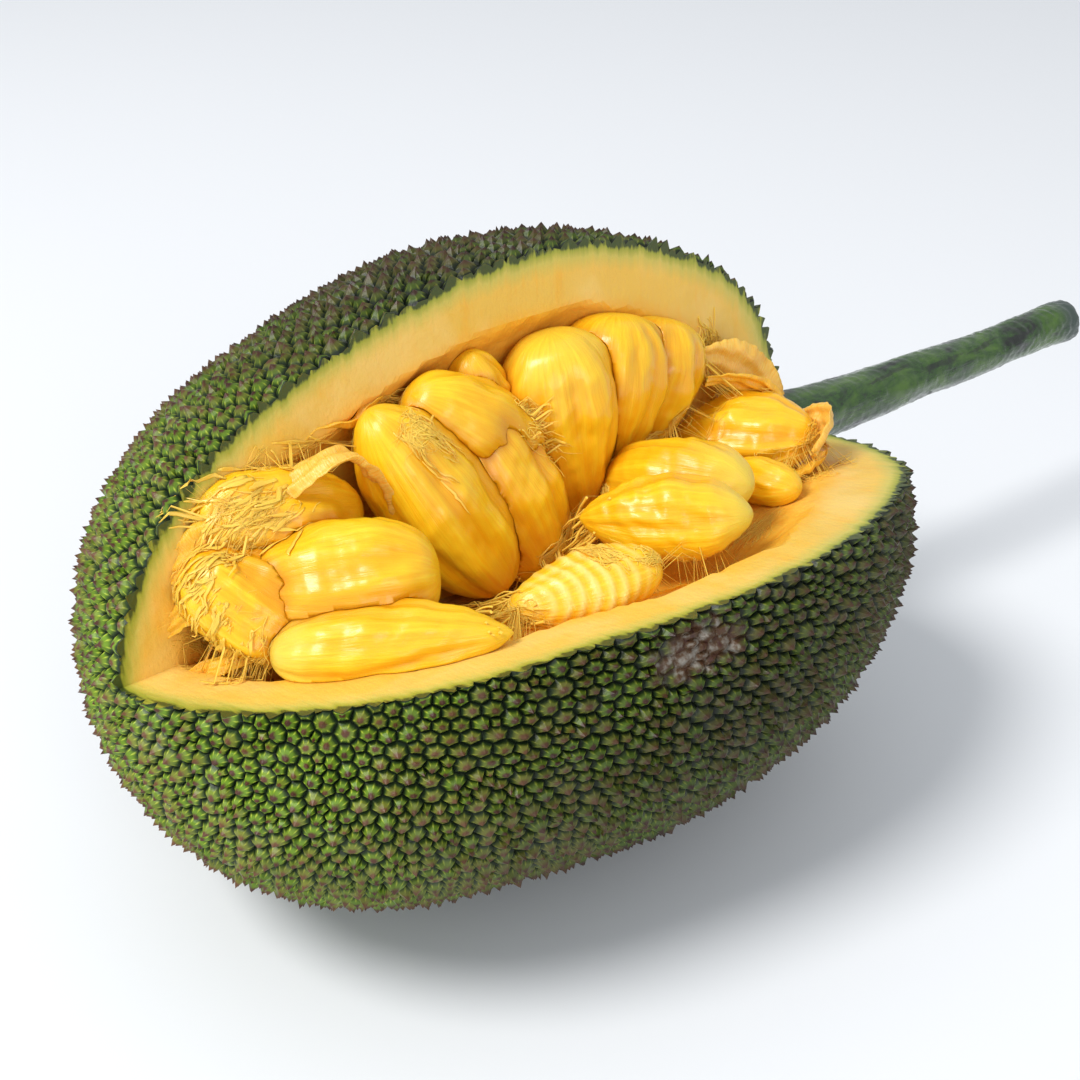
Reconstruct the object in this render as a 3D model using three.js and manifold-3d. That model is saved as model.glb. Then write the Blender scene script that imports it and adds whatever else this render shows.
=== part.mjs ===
// A ripe jackfruit lying on its side with its stalk on, opened by a long wedge cut from pole to pole.
// Millimetres, +Z up, +X towards the stalk. The origin is on the small flat spot it rests on,
// under the middle of its length.
// The wedge opens towards -Y and up, and shows the pale rind, the core and the golden bulbs.
import * as THREE from "three";
import { ConvexHull } from "three/addons/math/ConvexHull.js";
import { mergeVertices } from "three/addons/utils/BufferGeometryUtils.js";
import Module from "manifold-3d";

// Driving dimensions of the fruit
const HALF_LENGTH = 158; // from the middle to either pole, along X
const FLATNESS = 0.861; // height of the section over its width
const STATIONS = [-1, -0.7, -0.35, 0, 0.35, 0.7, 1]; // along X, in half lengths
const FULLNESS = [136, 127, 121, 125.5, 131.5, 142, 175]; // half width there, before the round ends close it
const BEND_Y = -8.8; // how far the poles lie off the middle, sideways
const BEND_Z = -4.2; // and in height
const BEND_ZERO = 0.3; // squared station at which the bend is nothing
const AXIS_HEIGHT = 105.5; // of the fruit's axis over the flat spot that it rests on

// Tubercles of the skin, larger than life here: the real ones stand about 6 mm apart
const TUBERCLES = 1640; // on the whole fruit, before the wedge is cut out
const TUBERCLE_HEIGHT = 4.4;
const TUBERCLE_SPREAD = 0.25; // share by which their height varies
const GOLDEN_ANGLE = Math.PI * (3 - Math.sqrt(5));
const SCATTER = 0.6; // how far they start off an even spiral, in spacings
const EVENING_ROUNDS = 24; // times that each is then drawn to the middle of its neighbours

// The two faces of the wedge: turn about the fruit's axis, slant to it, and distance from it
const FRONT_CUT = { turn: -14.8, slant: 2.2, offset: 8.2 };
const BACK_CUT = { turn: 83.5, slant: -0.7, offset: 2.8 };

// The hollow behind the two faces, which the bulbs and the core fill
const RIND = 20; // thickness of the rind that the faces show
const STEM_RIND = 32; // by how much it thickens towards the stalk
const HOLLOW_FROM = -142;
const HOLLOW_TO = 146;
const HOLLOW_DEPTH = 15; // how far it goes in behind either face
const HOLLOW_RINGS = 18;
const HOLLOW_SIDES = 28;

const GAP = 0.3; // between pieces that touch
const FAR = 900; // reaches past the fruit from anywhere in it
const MERGE = 1e-4; // points closer than this are one
const SEED = 20;

// Colours
const SKIN_COLOUR = 0x5b7328;
const STALK_COLOUR = 0x24451c;
const CORE_COLOUR = 0xc98f4e;
const BULB_COLOUR = 0xf3b12c;
const RAG_COLOUR = 0xf0c665;

const wasm = await Module();
wasm.setup();

// Seeded draws between 0 and 1
function makeRandom(seed) {
  let state = seed;
  return () => {
    state = (state * 1664525 + 1013904223) % 4294967296;
    return state / 4294967296;
  };
}

// Value of a smooth curve through the stations' fullness (Catmull-Rom between stations)
function fullnessAt(station) {
  const last = STATIONS.length - 2;
  let i = 0;
  while (i < last && station > STATIONS[i + 1]) i += 1;
  const t = (station - STATIONS[i]) / (STATIONS[i + 1] - STATIONS[i]);
  const slope = (k) => {
    const a = Math.max(0, k - 1);
    const b = Math.min(STATIONS.length - 1, k + 1);
    return (FULLNESS[b] - FULLNESS[a]) / (STATIONS[b] - STATIONS[a]);
  };
  const span = STATIONS[i + 1] - STATIONS[i];
  const t2 = t * t;
  const t3 = t2 * t;
  return (
    (2 * t3 - 3 * t2 + 1) * FULLNESS[i] +
    (t3 - 2 * t2 + t) * span * slope(i) +
    (3 * t2 - 2 * t3) * FULLNESS[i + 1] +
    (t3 - t2) * span * slope(i + 1)
  );
}

// Point of the fruit's section at a station, at a half width and an angle round the bent middle line
function sectionPoint(station, half, angle) {
  const bend = station * station - BEND_ZERO;
  return new THREE.Vector3(
    HALF_LENGTH * station,
    BEND_Y * bend + half * Math.cos(angle),
    BEND_Z * bend + FLATNESS * half * Math.sin(angle),
  );
}

// Point of the smooth skin under the tubercles, at a station and an angle
function skinPoint(station, angle) {
  const closing = Math.sqrt(Math.max(0, 1 - station * station));
  return sectionPoint(station, fullnessAt(station) * closing, angle);
}

// Outward direction of the skin, from its slope along and around the fruit
function skinNormal(station, angle) {
  const step = 0.002;
  const pole = 1 - 2 * step;
  const s = THREE.MathUtils.clamp(station, -pole, pole);
  const along = skinPoint(s + step, angle).sub(skinPoint(s - step, angle));
  const around = skinPoint(s, angle + step).sub(skinPoint(s, angle - step));
  return around.cross(along).normalize();
}

// A closed BufferGeometry from points and triangles
function geometryOf(points, triangles) {
  const geometry = new THREE.BufferGeometry();
  const flat = points.flatMap((p) => [p.x, p.y, p.z]);
  geometry.setAttribute("position", new THREE.Float32BufferAttribute(flat, 3));
  geometry.setIndex(triangles);
  return geometry;
}

// A solid to cut with, from any closed geometry
function solidOf(geometry) {
  const bare = geometry.clone();
  bare.deleteAttribute("normal");
  bare.deleteAttribute("uv");
  const merged = mergeVertices(bare, MERGE);
  return new wasm.Manifold(
    new wasm.Mesh({
      numProp: 3,
      vertProperties: merged.attributes.position.array,
      triVerts: new Uint32Array(merged.index.array),
    }),
  );
}

// The largest single body of a solid, back as a geometry
function geometryFrom(solid) {
  const bodies = solid.decompose();
  const largest = bodies.reduce((a, b) => (b.volume() > a.volume() ? b : a));
  const mesh = largest.getMesh();
  const geometry = new THREE.BufferGeometry();
  const positions = new Float32Array(mesh.vertProperties);
  geometry.setAttribute("position", new THREE.BufferAttribute(positions, 3));
  geometry.setIndex(Array.from(mesh.triVerts));
  const faceted = geometry.toNonIndexed();
  faceted.computeVertexNormals();
  return faceted;
}

// Rings of points joined into a closed solid, with a point to close either end
function loft(rings, startPoint, endPoint) {
  const sides = rings[0].length;
  const points = [startPoint, ...rings.flat(), endPoint];
  const end = points.length - 1;
  const at = (ring, side) => 1 + ring * sides + (side % sides);
  const triangles = [];
  for (let side = 0; side < sides; side += 1) {
    triangles.push(0, at(0, side + 1), at(0, side));
    triangles.push(end, at(rings.length - 1, side), at(rings.length - 1, side + 1));
    for (let ring = 0; ring + 1 < rings.length; ring += 1) {
      triangles.push(at(ring, side), at(ring, side + 1), at(ring + 1, side + 1));
      triangles.push(at(ring, side), at(ring + 1, side + 1), at(ring + 1, side));
    }
  }
  return geometryOf(points, triangles);
}

// The stretched ball on which the tubercles are spread: where a point of the skin lies on it
function onBall(point) {
  const station = THREE.MathUtils.clamp(point.x / HALF_LENGTH, -0.999, 0.999);
  const bend = station * station - BEND_ZERO;
  const half = fullnessAt(station);
  const side = (point.y - BEND_Y * bend) / half;
  const height = (point.z - BEND_Z * bend) / (FLATNESS * half);
  return new THREE.Vector3(station, side, height).normalize();
}

// The skin's point under a point of the ball
function underBall(ball) {
  return skinPoint(ball.x, Math.atan2(ball.z, ball.y));
}

// The triangles between neighbouring tubercles: three numbers each, turning outward
function neighbours(balls) {
  const number = new Map(balls.map((ball, i) => [ball, i]));
  const hull = new ConvexHull().setFromPoints(balls);
  return hull.faces.map((face) =>
    [face.edge.prev, face.edge, face.edge.next].map((edge) => number.get(edge.head().point)),
  );
}

// Spread of the tubercles: a scattered spiral round the fruit, evened out like cells that grow together
function tubercleBalls(random) {
  let balls = [];
  const spacing = Math.sqrt((4 * Math.PI) / TUBERCLES);
  for (let i = 0; i < TUBERCLES; i += 1) {
    const station = (2 * i + 1) / TUBERCLES - 1;
    const angle = i * GOLDEN_ANGLE;
    const closing = Math.sqrt(1 - station * station);
    const ball = new THREE.Vector3(station, closing * Math.cos(angle), closing * Math.sin(angle));
    const push = new THREE.Vector3(random() - 0.5, random() - 0.5, random() - 0.5);
    balls.push(ball.addScaledVector(push, 2 * SCATTER * spacing).normalize());
  }
  for (let round = 0; round < EVENING_ROUNDS; round += 1) {
    const feet = balls.map(underBall);
    const sums = balls.map(() => new THREE.Vector3());
    const counts = balls.map(() => 0);
    for (const corners of neighbours(balls)) {
      const middle = new THREE.Vector3();
      for (const corner of corners) middle.addScaledVector(feet[corner], 1 / 3);
      for (const corner of corners) {
        sums[corner].add(middle);
        counts[corner] += 1;
      }
    }
    balls = sums.map((sum, i) => onBall(sum.divideScalar(counts[i])));
  }
  return balls;
}

// The whole skin: one cell for each tubercle, with a corner between each three and a raised tip
function tubercledSkin() {
  const random = makeRandom(SEED);
  const balls = tubercleBalls(random);
  const feet = balls.map(underBall);
  const tips = balls.map((ball, i) => {
    const height = TUBERCLE_HEIGHT * (1 - TUBERCLE_SPREAD * random());
    return feet[i].clone().addScaledVector(skinNormal(ball.x, Math.atan2(ball.z, ball.y)), height);
  });
  const corners = [];
  const cornerAtEdge = new Map();
  const faces = neighbours(balls);
  faces.forEach(([a, b, c], i) => {
    corners.push(feet[a].clone().add(feet[b]).add(feet[c]).divideScalar(3));
    for (const [from, to] of [[a, b], [b, c], [c, a]]) cornerAtEdge.set(`${from} ${to}`, i);
  });
  const triangles = [];
  for (const [edge, corner] of cornerAtEdge) {
    const [from, to] = edge.split(" ").map(Number);
    const across = cornerAtEdge.get(`${to} ${from}`);
    triangles.push(from, tips.length + across, tips.length + corner);
  }
  return geometryOf([...tips, ...corners], triangles);
}

// The smooth body inside the rind, shrunk by inset
function innerBody(inset) {
  const middle = (HOLLOW_FROM + HOLLOW_TO) / 2;
  const half = (HOLLOW_TO - HOLLOW_FROM) / 2 - inset;
  const stationOf = (along) => (middle + half * along) / HALF_LENGTH;
  const rings = [];
  for (let i = 1; i < HOLLOW_RINGS; i += 1) {
    const along = -Math.cos((i * Math.PI) / HOLLOW_RINGS);
    const rind = RIND + STEM_RIND * Math.max(0, along) ** 2;
    const width = (fullnessAt(along) - rind - inset) * Math.sqrt(1 - along * along);
    const ring = [];
    for (let side = 0; side < HOLLOW_SIDES; side += 1) {
      ring.push(sectionPoint(stationOf(along), width, (side * 2 * Math.PI) / HOLLOW_SIDES));
    }
    rings.push(ring);
  }
  return loft(rings, sectionPoint(stationOf(-1), 0, 0), sectionPoint(stationOf(1), 0, 0));
}

// Outward normal of a cut face
function cutNormal({ turn, slant }) {
  const t = THREE.MathUtils.degToRad(turn);
  const s = THREE.MathUtils.degToRad(slant);
  return new THREE.Vector3(Math.sin(s), -Math.sin(t) * Math.cos(s), Math.cos(t) * Math.cos(s));
}

// Everything on the open side of a cut face, moved out along its normal by shift
function openSide(cut, shift) {
  const normal = cutNormal(cut);
  const block = new THREE.BoxGeometry(FAR, FAR, FAR);
  const turn = new THREE.Quaternion().setFromUnitVectors(new THREE.Vector3(0, 0, 1), normal);
  block.applyQuaternion(turn);
  const middle = normal.clone().multiplyScalar(cut.offset + shift + FAR / 2);
  block.translate(middle.x, middle.y, middle.z);
  return solidOf(block);
}

// The wedge that is cut out, shrunk by inset
function wedge(inset) {
  return openSide(FRONT_CUT, inset).intersect(openSide(BACK_CUT, inset));
}

// The hollow behind the faces, shrunk by inset
function hollow(inset) {
  return solidOf(innerBody(inset))
    .intersect(openSide(FRONT_CUT, inset - HOLLOW_DEPTH))
    .intersect(openSide(BACK_CUT, inset - HOLLOW_DEPTH));
}

// A round stem along a curve through points, each with its own radius, grown by grow all round
function stem({ points, radii, sides, steps }, grow) {
  const curve = new THREE.CatmullRomCurve3(points.map((p) => new THREE.Vector3(...p)));
  const radius = (t) => {
    const place = t * (radii.length - 1);
    const i = Math.min(radii.length - 2, Math.floor(place));
    return THREE.MathUtils.lerp(radii[i], radii[i + 1], place - i) + grow;
  };
  const rings = [];
  for (let step = 0; step <= steps; step += 1) {
    const t = step / steps;
    const middle = curve.getPoint(t);
    const tangent = curve.getTangent(t);
    const side = new THREE.Vector3(0, 0, 1).cross(tangent).normalize();
    const up = tangent.clone().cross(side);
    const ring = [];
    for (let k = 0; k < sides; k += 1) {
      const angle = (k * 2 * Math.PI) / sides;
      ring.push(
        middle
          .clone()
          .addScaledVector(side, radius(t) * Math.cos(angle))
          .addScaledVector(up, radius(t) * Math.sin(angle)),
      );
    }
    rings.push(ring);
  }
  const start = curve.getPoint(0).addScaledVector(curve.getTangent(0), -grow);
  const end = curve.getPoint(1).addScaledVector(curve.getTangent(1), grow);
  return loft(rings, start, end);
}

// The woody stalk, from where it meets the core out to its cut end
const STALK = {
  points: [[143, -2, 7], [190, -7, 3.5], [235, -12, 4], [285, -17, 4], [322, -21, 5], [346, -23.5, 5.5]],
  radii: [12.6, 12.2, 10.9, 9.9, 10, 10.8],
  sides: 14,
  steps: 12,
};

// The core that the stalk runs on into, deep in the wedge
const CORE = {
  points: [
    [142.4, -2, 7],
    [109, -2, 11],
    [74, -3, 7],
    [50, -6, 3],
    [24, -14, -1],
    [0, -18, -4],
    [-32, -15, -4],
    [-80, -8, 0],
    [-122, -4, 2],
  ],
  radii: [11, 8, 7, 7, 7, 7, 7, 6.5, 5],
  sides: 10,
  steps: 22,
};

// The bulbs, each with its inner end towards the core and its outer end towards the rind, its width and
// depth across, and how each end closes: 0.5 is round and more is pointed. face is the side that shows.
const UP = [-0.2, -0.5, 0.85];
const OUT = [0, -1, 0.1];
const BULBS = {
  front_lower: { ends: [[4, -40, 33], [37, -88, 40]], across: [30, 27], closing: [0.8, 0.5], face: UP },
  front_upper: { ends: [[40, -10, 24], [54, -71, 41]], across: [35, 31], closing: [0.8, 0.5], face: UP },
  by_the_stalk: { ends: [[90, -5, 22], [122, -50, 29]], across: [31, 28], closing: [0.75, 0.55], face: UP },
  front_long: { ends: [[-64, -82, 37], [-121, -33, 29]], across: [29, 26], closing: [0.7, 0.45], face: UP },
  left_big: { ends: [[-65, -48, 43], [-116, -10, 37]], across: [43, 38], closing: [0.5, 0.6], face: UP },
  middle_left: { ends: [[-18, -25, 7], [-57, -2, 80]], across: [39, 38], closing: [0.45, 0.6], face: OUT },
  middle_right: { ends: [[6, -22, 2], [-20, -1, 68]], across: [42, 36], closing: [0.45, 0.55], face: OUT },
  back_left: { ends: [[31, -14, 10], [27, 1, 83]], across: [43, 40], closing: [0.8, 0.42], face: OUT },
  back_middle: { ends: [[46, -9, 15], [63, 2, 79]], across: [38, 36], closing: [0.8, 0.45], face: OUT },
  back_right: { ends: [[70, -4, 18], [91, 3, 68]], across: [35, 33], closing: [0.75, 0.45], face: OUT },
  middle_top: { ends: [[10, -8, 32], [-35, 2, 76]], across: [36, 32], closing: [0.5, 0.5], face: OUT },
  small_top: { ends: [[7, 5, 38], [-5, 9, 82]], across: [24, 22], closing: [0.7, 0.5], face: OUT },
  left_back: { ends: [[-62, -2, 42], [-118, 6, 60]], across: [32, 30], closing: [0.55, 0.5], face: OUT },
  left_end: { ends: [[-106, -30, 24], [-124, 2, 50]], across: [30, 28], closing: [0.5, 0.45], face: UP },
  striped: { ends: [[-46, -60, 26], [3, -80, 33]], across: [25, 22], closing: [0.55, 0.45], face: UP },
  small_front: { ends: [[85, -36, 19], [88, -70, 26]], across: [20, 18], closing: [0.6, 0.5], face: UP },
};
const BULB_RINGS = 8;
const BULB_SIDES = 12;

// One bulb as a closed solid, grown by grow all round
function bulb({ ends, across: [width, depth], closing: [innerClosing, outerClosing], face }, grow) {
  const start = new THREE.Vector3(...ends[0]);
  const along = new THREE.Vector3(...ends[1]).sub(start);
  const length = along.length();
  along.normalize();
  const sideways = new THREE.Vector3(...face).cross(along).normalize();
  const outward = along.clone().cross(sideways);
  const widest = innerClosing / (innerClosing + outerClosing);
  const peak = widest ** innerClosing * (1 - widest) ** outerClosing;
  const rings = [];
  for (let ring = 1; ring < BULB_RINGS; ring += 1) {
    const t = (1 - Math.cos((ring * Math.PI) / BULB_RINGS)) / 2;
    const full = (t ** innerClosing * (1 - t) ** outerClosing) / peak;
    const middle = start.clone().addScaledVector(along, (length + 2 * grow) * t - grow);
    const points = [];
    for (let side = 0; side < BULB_SIDES; side += 1) {
      const angle = (side * 2 * Math.PI) / BULB_SIDES;
      points.push(
        middle
          .clone()
          .addScaledVector(sideways, ((full * width) / 2 + grow) * Math.cos(angle))
          .addScaledVector(outward, ((full * depth) / 2 + grow) * Math.sin(angle)),
      );
    }
    rings.push(points);
  }
  const tail = start.clone().addScaledVector(along, -grow);
  const head = start.clone().addScaledVector(along, length + grow);
  return loft(rings, tail, head);
}

// Rag, the flat ribbons between the bulbs: each follows a path, and lean is the way its breadth lies
const RAGS = {
  strap: {
    path: [[-97, 1, 58], [-85, -8, 71], [-72, -11, 73], [-63, -13, 62], [-58, -14, 46]],
    breadth: 14,
    thickness: 1.6,
    lean: OUT,
  },
  curtain: {
    path: [[100, -6, 52], [115, -9, 48], [129, -12, 38], [138, -16, 25]],
    breadth: 20,
    thickness: 1.4,
    lean: [0.5, 0, 1],
  },
  collar: {
    path: [[108, -60, 30], [119, -56, 35], [127, -47, 34], [131, -34, 27]],
    breadth: 13,
    thickness: 1.4,
    lean: [0.2, -0.1, 1],
  },
};
const RAG_END = 0.55; // share of the breadth that its two ends keep
const RAG_STEPS = 10;

// One ribbon as a closed solid
function ribbon({ path, breadth, thickness, lean }) {
  const curve = new THREE.CatmullRomCurve3(path.map((p) => new THREE.Vector3(...p)));
  const rings = [];
  for (let step = 0; step <= RAG_STEPS; step += 1) {
    const t = step / RAG_STEPS;
    const tangent = curve.getTangent(t);
    const across = new THREE.Vector3(...lean).projectOnPlane(tangent).normalize();
    const through = tangent.clone().cross(across);
    const half = (breadth / 2) * (RAG_END + (1 - RAG_END) * Math.sin(Math.PI * t));
    const corner = (a, b) =>
      curve.getPoint(t).addScaledVector(across, a * half).addScaledVector(through, (b * thickness) / 2);
    rings.push([corner(1, 1), corner(-1, 1), corner(-1, -1), corner(1, -1)]);
  }
  return loft(rings, curve.getPoint(0), curve.getPoint(1));
}

// A moist or waxy surface of one colour
function finish(color, roughness) {
  return new THREE.MeshStandardMaterial({ color, roughness, metalness: 0 });
}

const skinFinish = finish(SKIN_COLOUR, 0.6);
const stalkFinish = finish(STALK_COLOUR, 0.45);
const coreFinish = finish(CORE_COLOUR, 0.6);
const bulbFinish = finish(BULB_COLOUR, 0.3);
const ragFinish = finish(RAG_COLOUR, 0.5);

// What each piece leaves free for the others
const stalkRoom = solidOf(stem(STALK, GAP));
const coreRoom = solidOf(stem(CORE, GAP));
const bulbRoom = wedge(GAP).add(hollow(GAP));
const belowFlatSpot = new THREE.BoxGeometry(FAR, FAR, FAR);
belowFlatSpot.translate(0, 0, -AXIS_HEIGHT - FAR / 2);

const fruit = new THREE.Group();
fruit.position.z = AXIS_HEIGHT;

// The main body of a solid joins the fruit under its own name
function addPiece(name, solid, material) {
  const mesh = new THREE.Mesh(geometryFrom(solid), material);
  mesh.name = name;
  fruit.add(mesh);
}

const husk = solidOf(tubercledSkin())
  .subtract(wedge(0))
  .subtract(hollow(0))
  .subtract(stalkRoom)
  .subtract(coreRoom)
  .subtract(solidOf(belowFlatSpot));

addPiece("husk", husk, skinFinish);
addPiece("stalk", solidOf(stem(STALK, 0)), stalkFinish);
addPiece("core", solidOf(stem(CORE, 0)).subtract(stalkRoom), coreFinish);

// Each bulb gives way to those before it, and the rag to them all
let taken = coreRoom.add(stalkRoom);
for (const [name, spec] of Object.entries(BULBS)) {
  addPiece(`bulb_${name}`, solidOf(bulb(spec, 0)).intersect(bulbRoom).subtract(taken), bulbFinish);
  taken = taken.add(solidOf(bulb(spec, GAP)));
}
for (const [name, spec] of Object.entries(RAGS)) {
  addPiece(`rag_${name}`, solidOf(ribbon(spec)).intersect(bulbRoom).subtract(taken), ragFinish);
}

export default fruit;
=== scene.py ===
"""Visual model of a ripe jackfruit on its side, opened by a long wedge cut from pole to pole.

Lengths in the classes below are millimetres, measured from the middle of the fruit's own axis, with X
towards the stalk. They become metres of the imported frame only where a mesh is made.
"""
from __future__ import annotations

import logging
import math
from dataclasses import dataclass, field, replace
from enum import Enum
from typing import Optional, Sequence, Union

import bmesh
import bpy
import numpy as np
from mathutils import Matrix, Vector
from mathutils.bvhtree import BVHTree
from mathutils.geometry import delaunay_2d_cdt

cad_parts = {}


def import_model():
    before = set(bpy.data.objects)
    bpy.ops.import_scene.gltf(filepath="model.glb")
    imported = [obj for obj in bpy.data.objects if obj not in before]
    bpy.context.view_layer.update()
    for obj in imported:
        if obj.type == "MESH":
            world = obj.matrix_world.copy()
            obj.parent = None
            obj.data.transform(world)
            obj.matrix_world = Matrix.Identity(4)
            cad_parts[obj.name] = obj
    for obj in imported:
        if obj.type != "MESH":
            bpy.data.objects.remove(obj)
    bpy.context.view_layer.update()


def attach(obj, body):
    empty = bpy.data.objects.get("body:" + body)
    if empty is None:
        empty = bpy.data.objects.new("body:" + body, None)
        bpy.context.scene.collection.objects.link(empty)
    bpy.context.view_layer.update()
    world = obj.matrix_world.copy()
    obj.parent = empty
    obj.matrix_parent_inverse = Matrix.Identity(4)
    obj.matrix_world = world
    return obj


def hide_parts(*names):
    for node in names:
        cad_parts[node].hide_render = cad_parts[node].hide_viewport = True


LOG = logging.getLogger("jackfruit")
MM = 0.001
AXIS_HEIGHT = 105.5
ROOM_GAP = 0.35
STALK_GAP = 0.4
# A tubercle's point counts as its tip where the stored rise is above this
TIP = 0.99
GOLDEN_ANGLE = math.pi * (3.0 - math.sqrt(5.0))
Triple = tuple[float, float, float]


class Face(Enum):
    """The side of a bulb or of a ribbon of rag that shows."""

    UP = (-0.2, -0.5, 0.85)
    OUT = (0.0, -1.0, 0.1)


def to_frame(points: np.ndarray) -> np.ndarray:
    """Turn millimetres about the fruit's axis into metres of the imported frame.

    Args:
        points: An array of shape (n, 3).

    Returns:
        The same points in metres, over the flat spot.
    """
    return (np.asarray(points, dtype=float) + np.array([0.0, 0.0, AXIS_HEIGHT])) * MM


def from_frame(points: np.ndarray) -> np.ndarray:
    """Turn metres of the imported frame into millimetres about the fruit's axis."""
    return np.asarray(points, dtype=float) / MM - np.array([0.0, 0.0, AXIS_HEIGHT])


def unit(vector: Sequence[float]) -> np.ndarray:
    """Return the vector at length one."""
    array = np.asarray(vector, dtype=float)
    return array / np.linalg.norm(array)


def smoothstep(low: float, high: float, value: np.ndarray) -> np.ndarray:
    """Rise smoothly from 0 at low to 1 at high."""
    share = np.clip((value - low) / (high - low), 0.0, 1.0)
    return share * share * (3.0 - 2.0 * share)


def square(half: float, height: float) -> list[Triple]:
    """Give the corners of a level square over the middle of the fruit, anticlockwise from above."""
    return [(x * half, y * half, height) for x, y in ((-1, -1), (1, -1), (1, 1), (-1, 1))]


@dataclass(frozen=True)
class Rumple:
    """Smooth uneven waves in space, for surfaces that grew and weren't made."""

    size: float
    seed: int
    waves: int = 14

    def at(self, points: np.ndarray, stretch: Triple = (1.0, 1.0, 1.0)) -> np.ndarray:
        """Give the height of the waves, mostly between -1 and 1.

        Args:
            points: An array of shape (n, 3).
            stretch: How many times longer the waves are along each axis.

        Returns:
            One height for each point.
        """
        random = np.random.default_rng(self.seed)
        directions = random.normal(size=(self.waves, 3))
        directions /= np.linalg.norm(directions, axis=1)[:, None]
        pitches = random.uniform(0.6, 1.9, self.waves) * 2.0 * math.pi / self.size
        phases = random.uniform(0.0, 2.0 * math.pi, self.waves)
        turns = (points / np.array(stretch)) @ (directions * pitches[:, None]).T + phases
        return np.sin(turns).sum(axis=1) * math.sqrt(2.0 / self.waves) * 0.6


@dataclass(frozen=True)
class FruitForm:
    """The smooth body under the tubercles, the same as in the construction."""

    half_length: float = 158.0
    flatness: float = 0.861
    stations: tuple[float, ...] = (-1.0, -0.7, -0.35, 0.0, 0.35, 0.7, 1.0)
    fullness: tuple[float, ...] = (136.0, 127.0, 121.0, 125.5, 131.5, 142.0, 175.0)
    bend_y: float = -8.8
    bend_z: float = -4.2
    bend_zero: float = 0.3

    def fullness_at(self, station: np.ndarray) -> np.ndarray:
        """Give the half width at each station, before the round ends close it.

        Args:
            station: Places along the fruit, from -1 to 1.

        Returns:
            One half width for each place.
        """
        places = np.array(self.stations)
        values = np.array(self.fullness)
        slopes = np.empty_like(values)
        slopes[1:-1] = (values[2:] - values[:-2]) / (places[2:] - places[:-2])
        slopes[0] = (values[1] - values[0]) / (places[1] - places[0])
        slopes[-1] = (values[-1] - values[-2]) / (places[-1] - places[-2])
        station = np.clip(station, -1.2, 1.2)
        i = np.clip(np.searchsorted(places, station, side="left") - 1, 0, len(places) - 2)
        span = places[i + 1] - places[i]
        t = (station - places[i]) / span
        return (
            (2 * t**3 - 3 * t**2 + 1) * values[i]
            + (t**3 - 2 * t**2 + t) * span * slopes[i]
            + (3 * t**2 - 2 * t**3) * values[i + 1]
            + (t**3 - t**2) * span * slopes[i + 1]
        )

    def middle(self, station: np.ndarray) -> np.ndarray:
        """Give the points of the bent middle line at each station."""
        bend = station**2 - self.bend_zero
        return np.stack([self.half_length * station, self.bend_y * bend, self.bend_z * bend], axis=-1)

    def skin(self, balls: np.ndarray) -> np.ndarray:
        """Carry points of a unit ball onto the smooth skin.

        Args:
            balls: Points of the unit ball, of shape (n, 3).

        Returns:
            The points of the skin.
        """
        station = np.clip(balls[:, 0], -1.0, 1.0)
        angle = np.arctan2(balls[:, 2], balls[:, 1])
        half = self.fullness_at(station) * np.sqrt(np.maximum(0.0, 1.0 - station**2))
        points = self.middle(station)
        points[:, 1] += half * np.cos(angle)
        points[:, 2] += self.flatness * half * np.sin(angle)
        return points

    def ball(self, points: np.ndarray) -> np.ndarray:
        """Carry points of space into the space of the unit ball, where the skin is at length one.

        Args:
            points: Points about the fruit's axis, of shape (n, 3).

        Returns:
            The points of the ball's space.
        """
        station = points[:, 0] / self.half_length
        middle = self.middle(station)
        half = self.fullness_at(station)
        side = (points[:, 1] - middle[:, 1]) / half
        height = (points[:, 2] - middle[:, 2]) / (self.flatness * half)
        return np.stack([station, side, height], axis=-1)

    def depth(self, points: np.ndarray) -> np.ndarray:
        """Give how far each point lies under the smooth skin, negative above it.

        Args:
            points: Points about the fruit's axis, of shape (n, 3).

        Returns:
            One depth for each point.
        """
        step = 0.05
        here = np.linalg.norm(self.ball(points), axis=1)
        slopes = []
        for axis in range(3):
            shift = np.zeros(3)
            shift[axis] = step
            slopes.append((np.linalg.norm(self.ball(points + shift), axis=1) - here) / step)
        return (1.0 - here) / np.maximum(1e-6, np.linalg.norm(np.array(slopes), axis=0))


@dataclass(frozen=True)
class CutPlane:
    """One flat face of the wedge: its turn about the fruit's axis, its slant and its distance from it."""

    turn: float
    slant: float
    offset: float

    @property
    def normal(self) -> np.ndarray:
        """The direction that points out of the flesh.

        Returns:
            The face's normal, at length one.
        """
        turn, slant = math.radians(self.turn), math.radians(self.slant)
        flat = math.cos(slant)
        return np.array([math.sin(slant), -math.sin(turn) * flat, math.cos(turn) * flat])


FORM = FruitForm()
FRONT_CUT = CutPlane(turn=-14.8, slant=2.2, offset=8.2)
BACK_CUT = CutPlane(turn=83.5, slant=-0.7, offset=2.8)
SCAR_MIDDLE = (-18.0, -117.0, 28.0)
SCAR_SIZE = (17.0, 14.0, 9.5)


def scarred(points: np.ndarray) -> np.ndarray:
    """Tell how far each point of the skin lies within the corky scar, from 0 to 1."""
    away = np.linalg.norm((points - np.array(SCAR_MIDDLE)) / np.array(SCAR_SIZE), axis=1)
    return 1.0 - smoothstep(0.75, 1.1, away + 0.3 * Rumple(9.0, 77).at(points))


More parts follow.
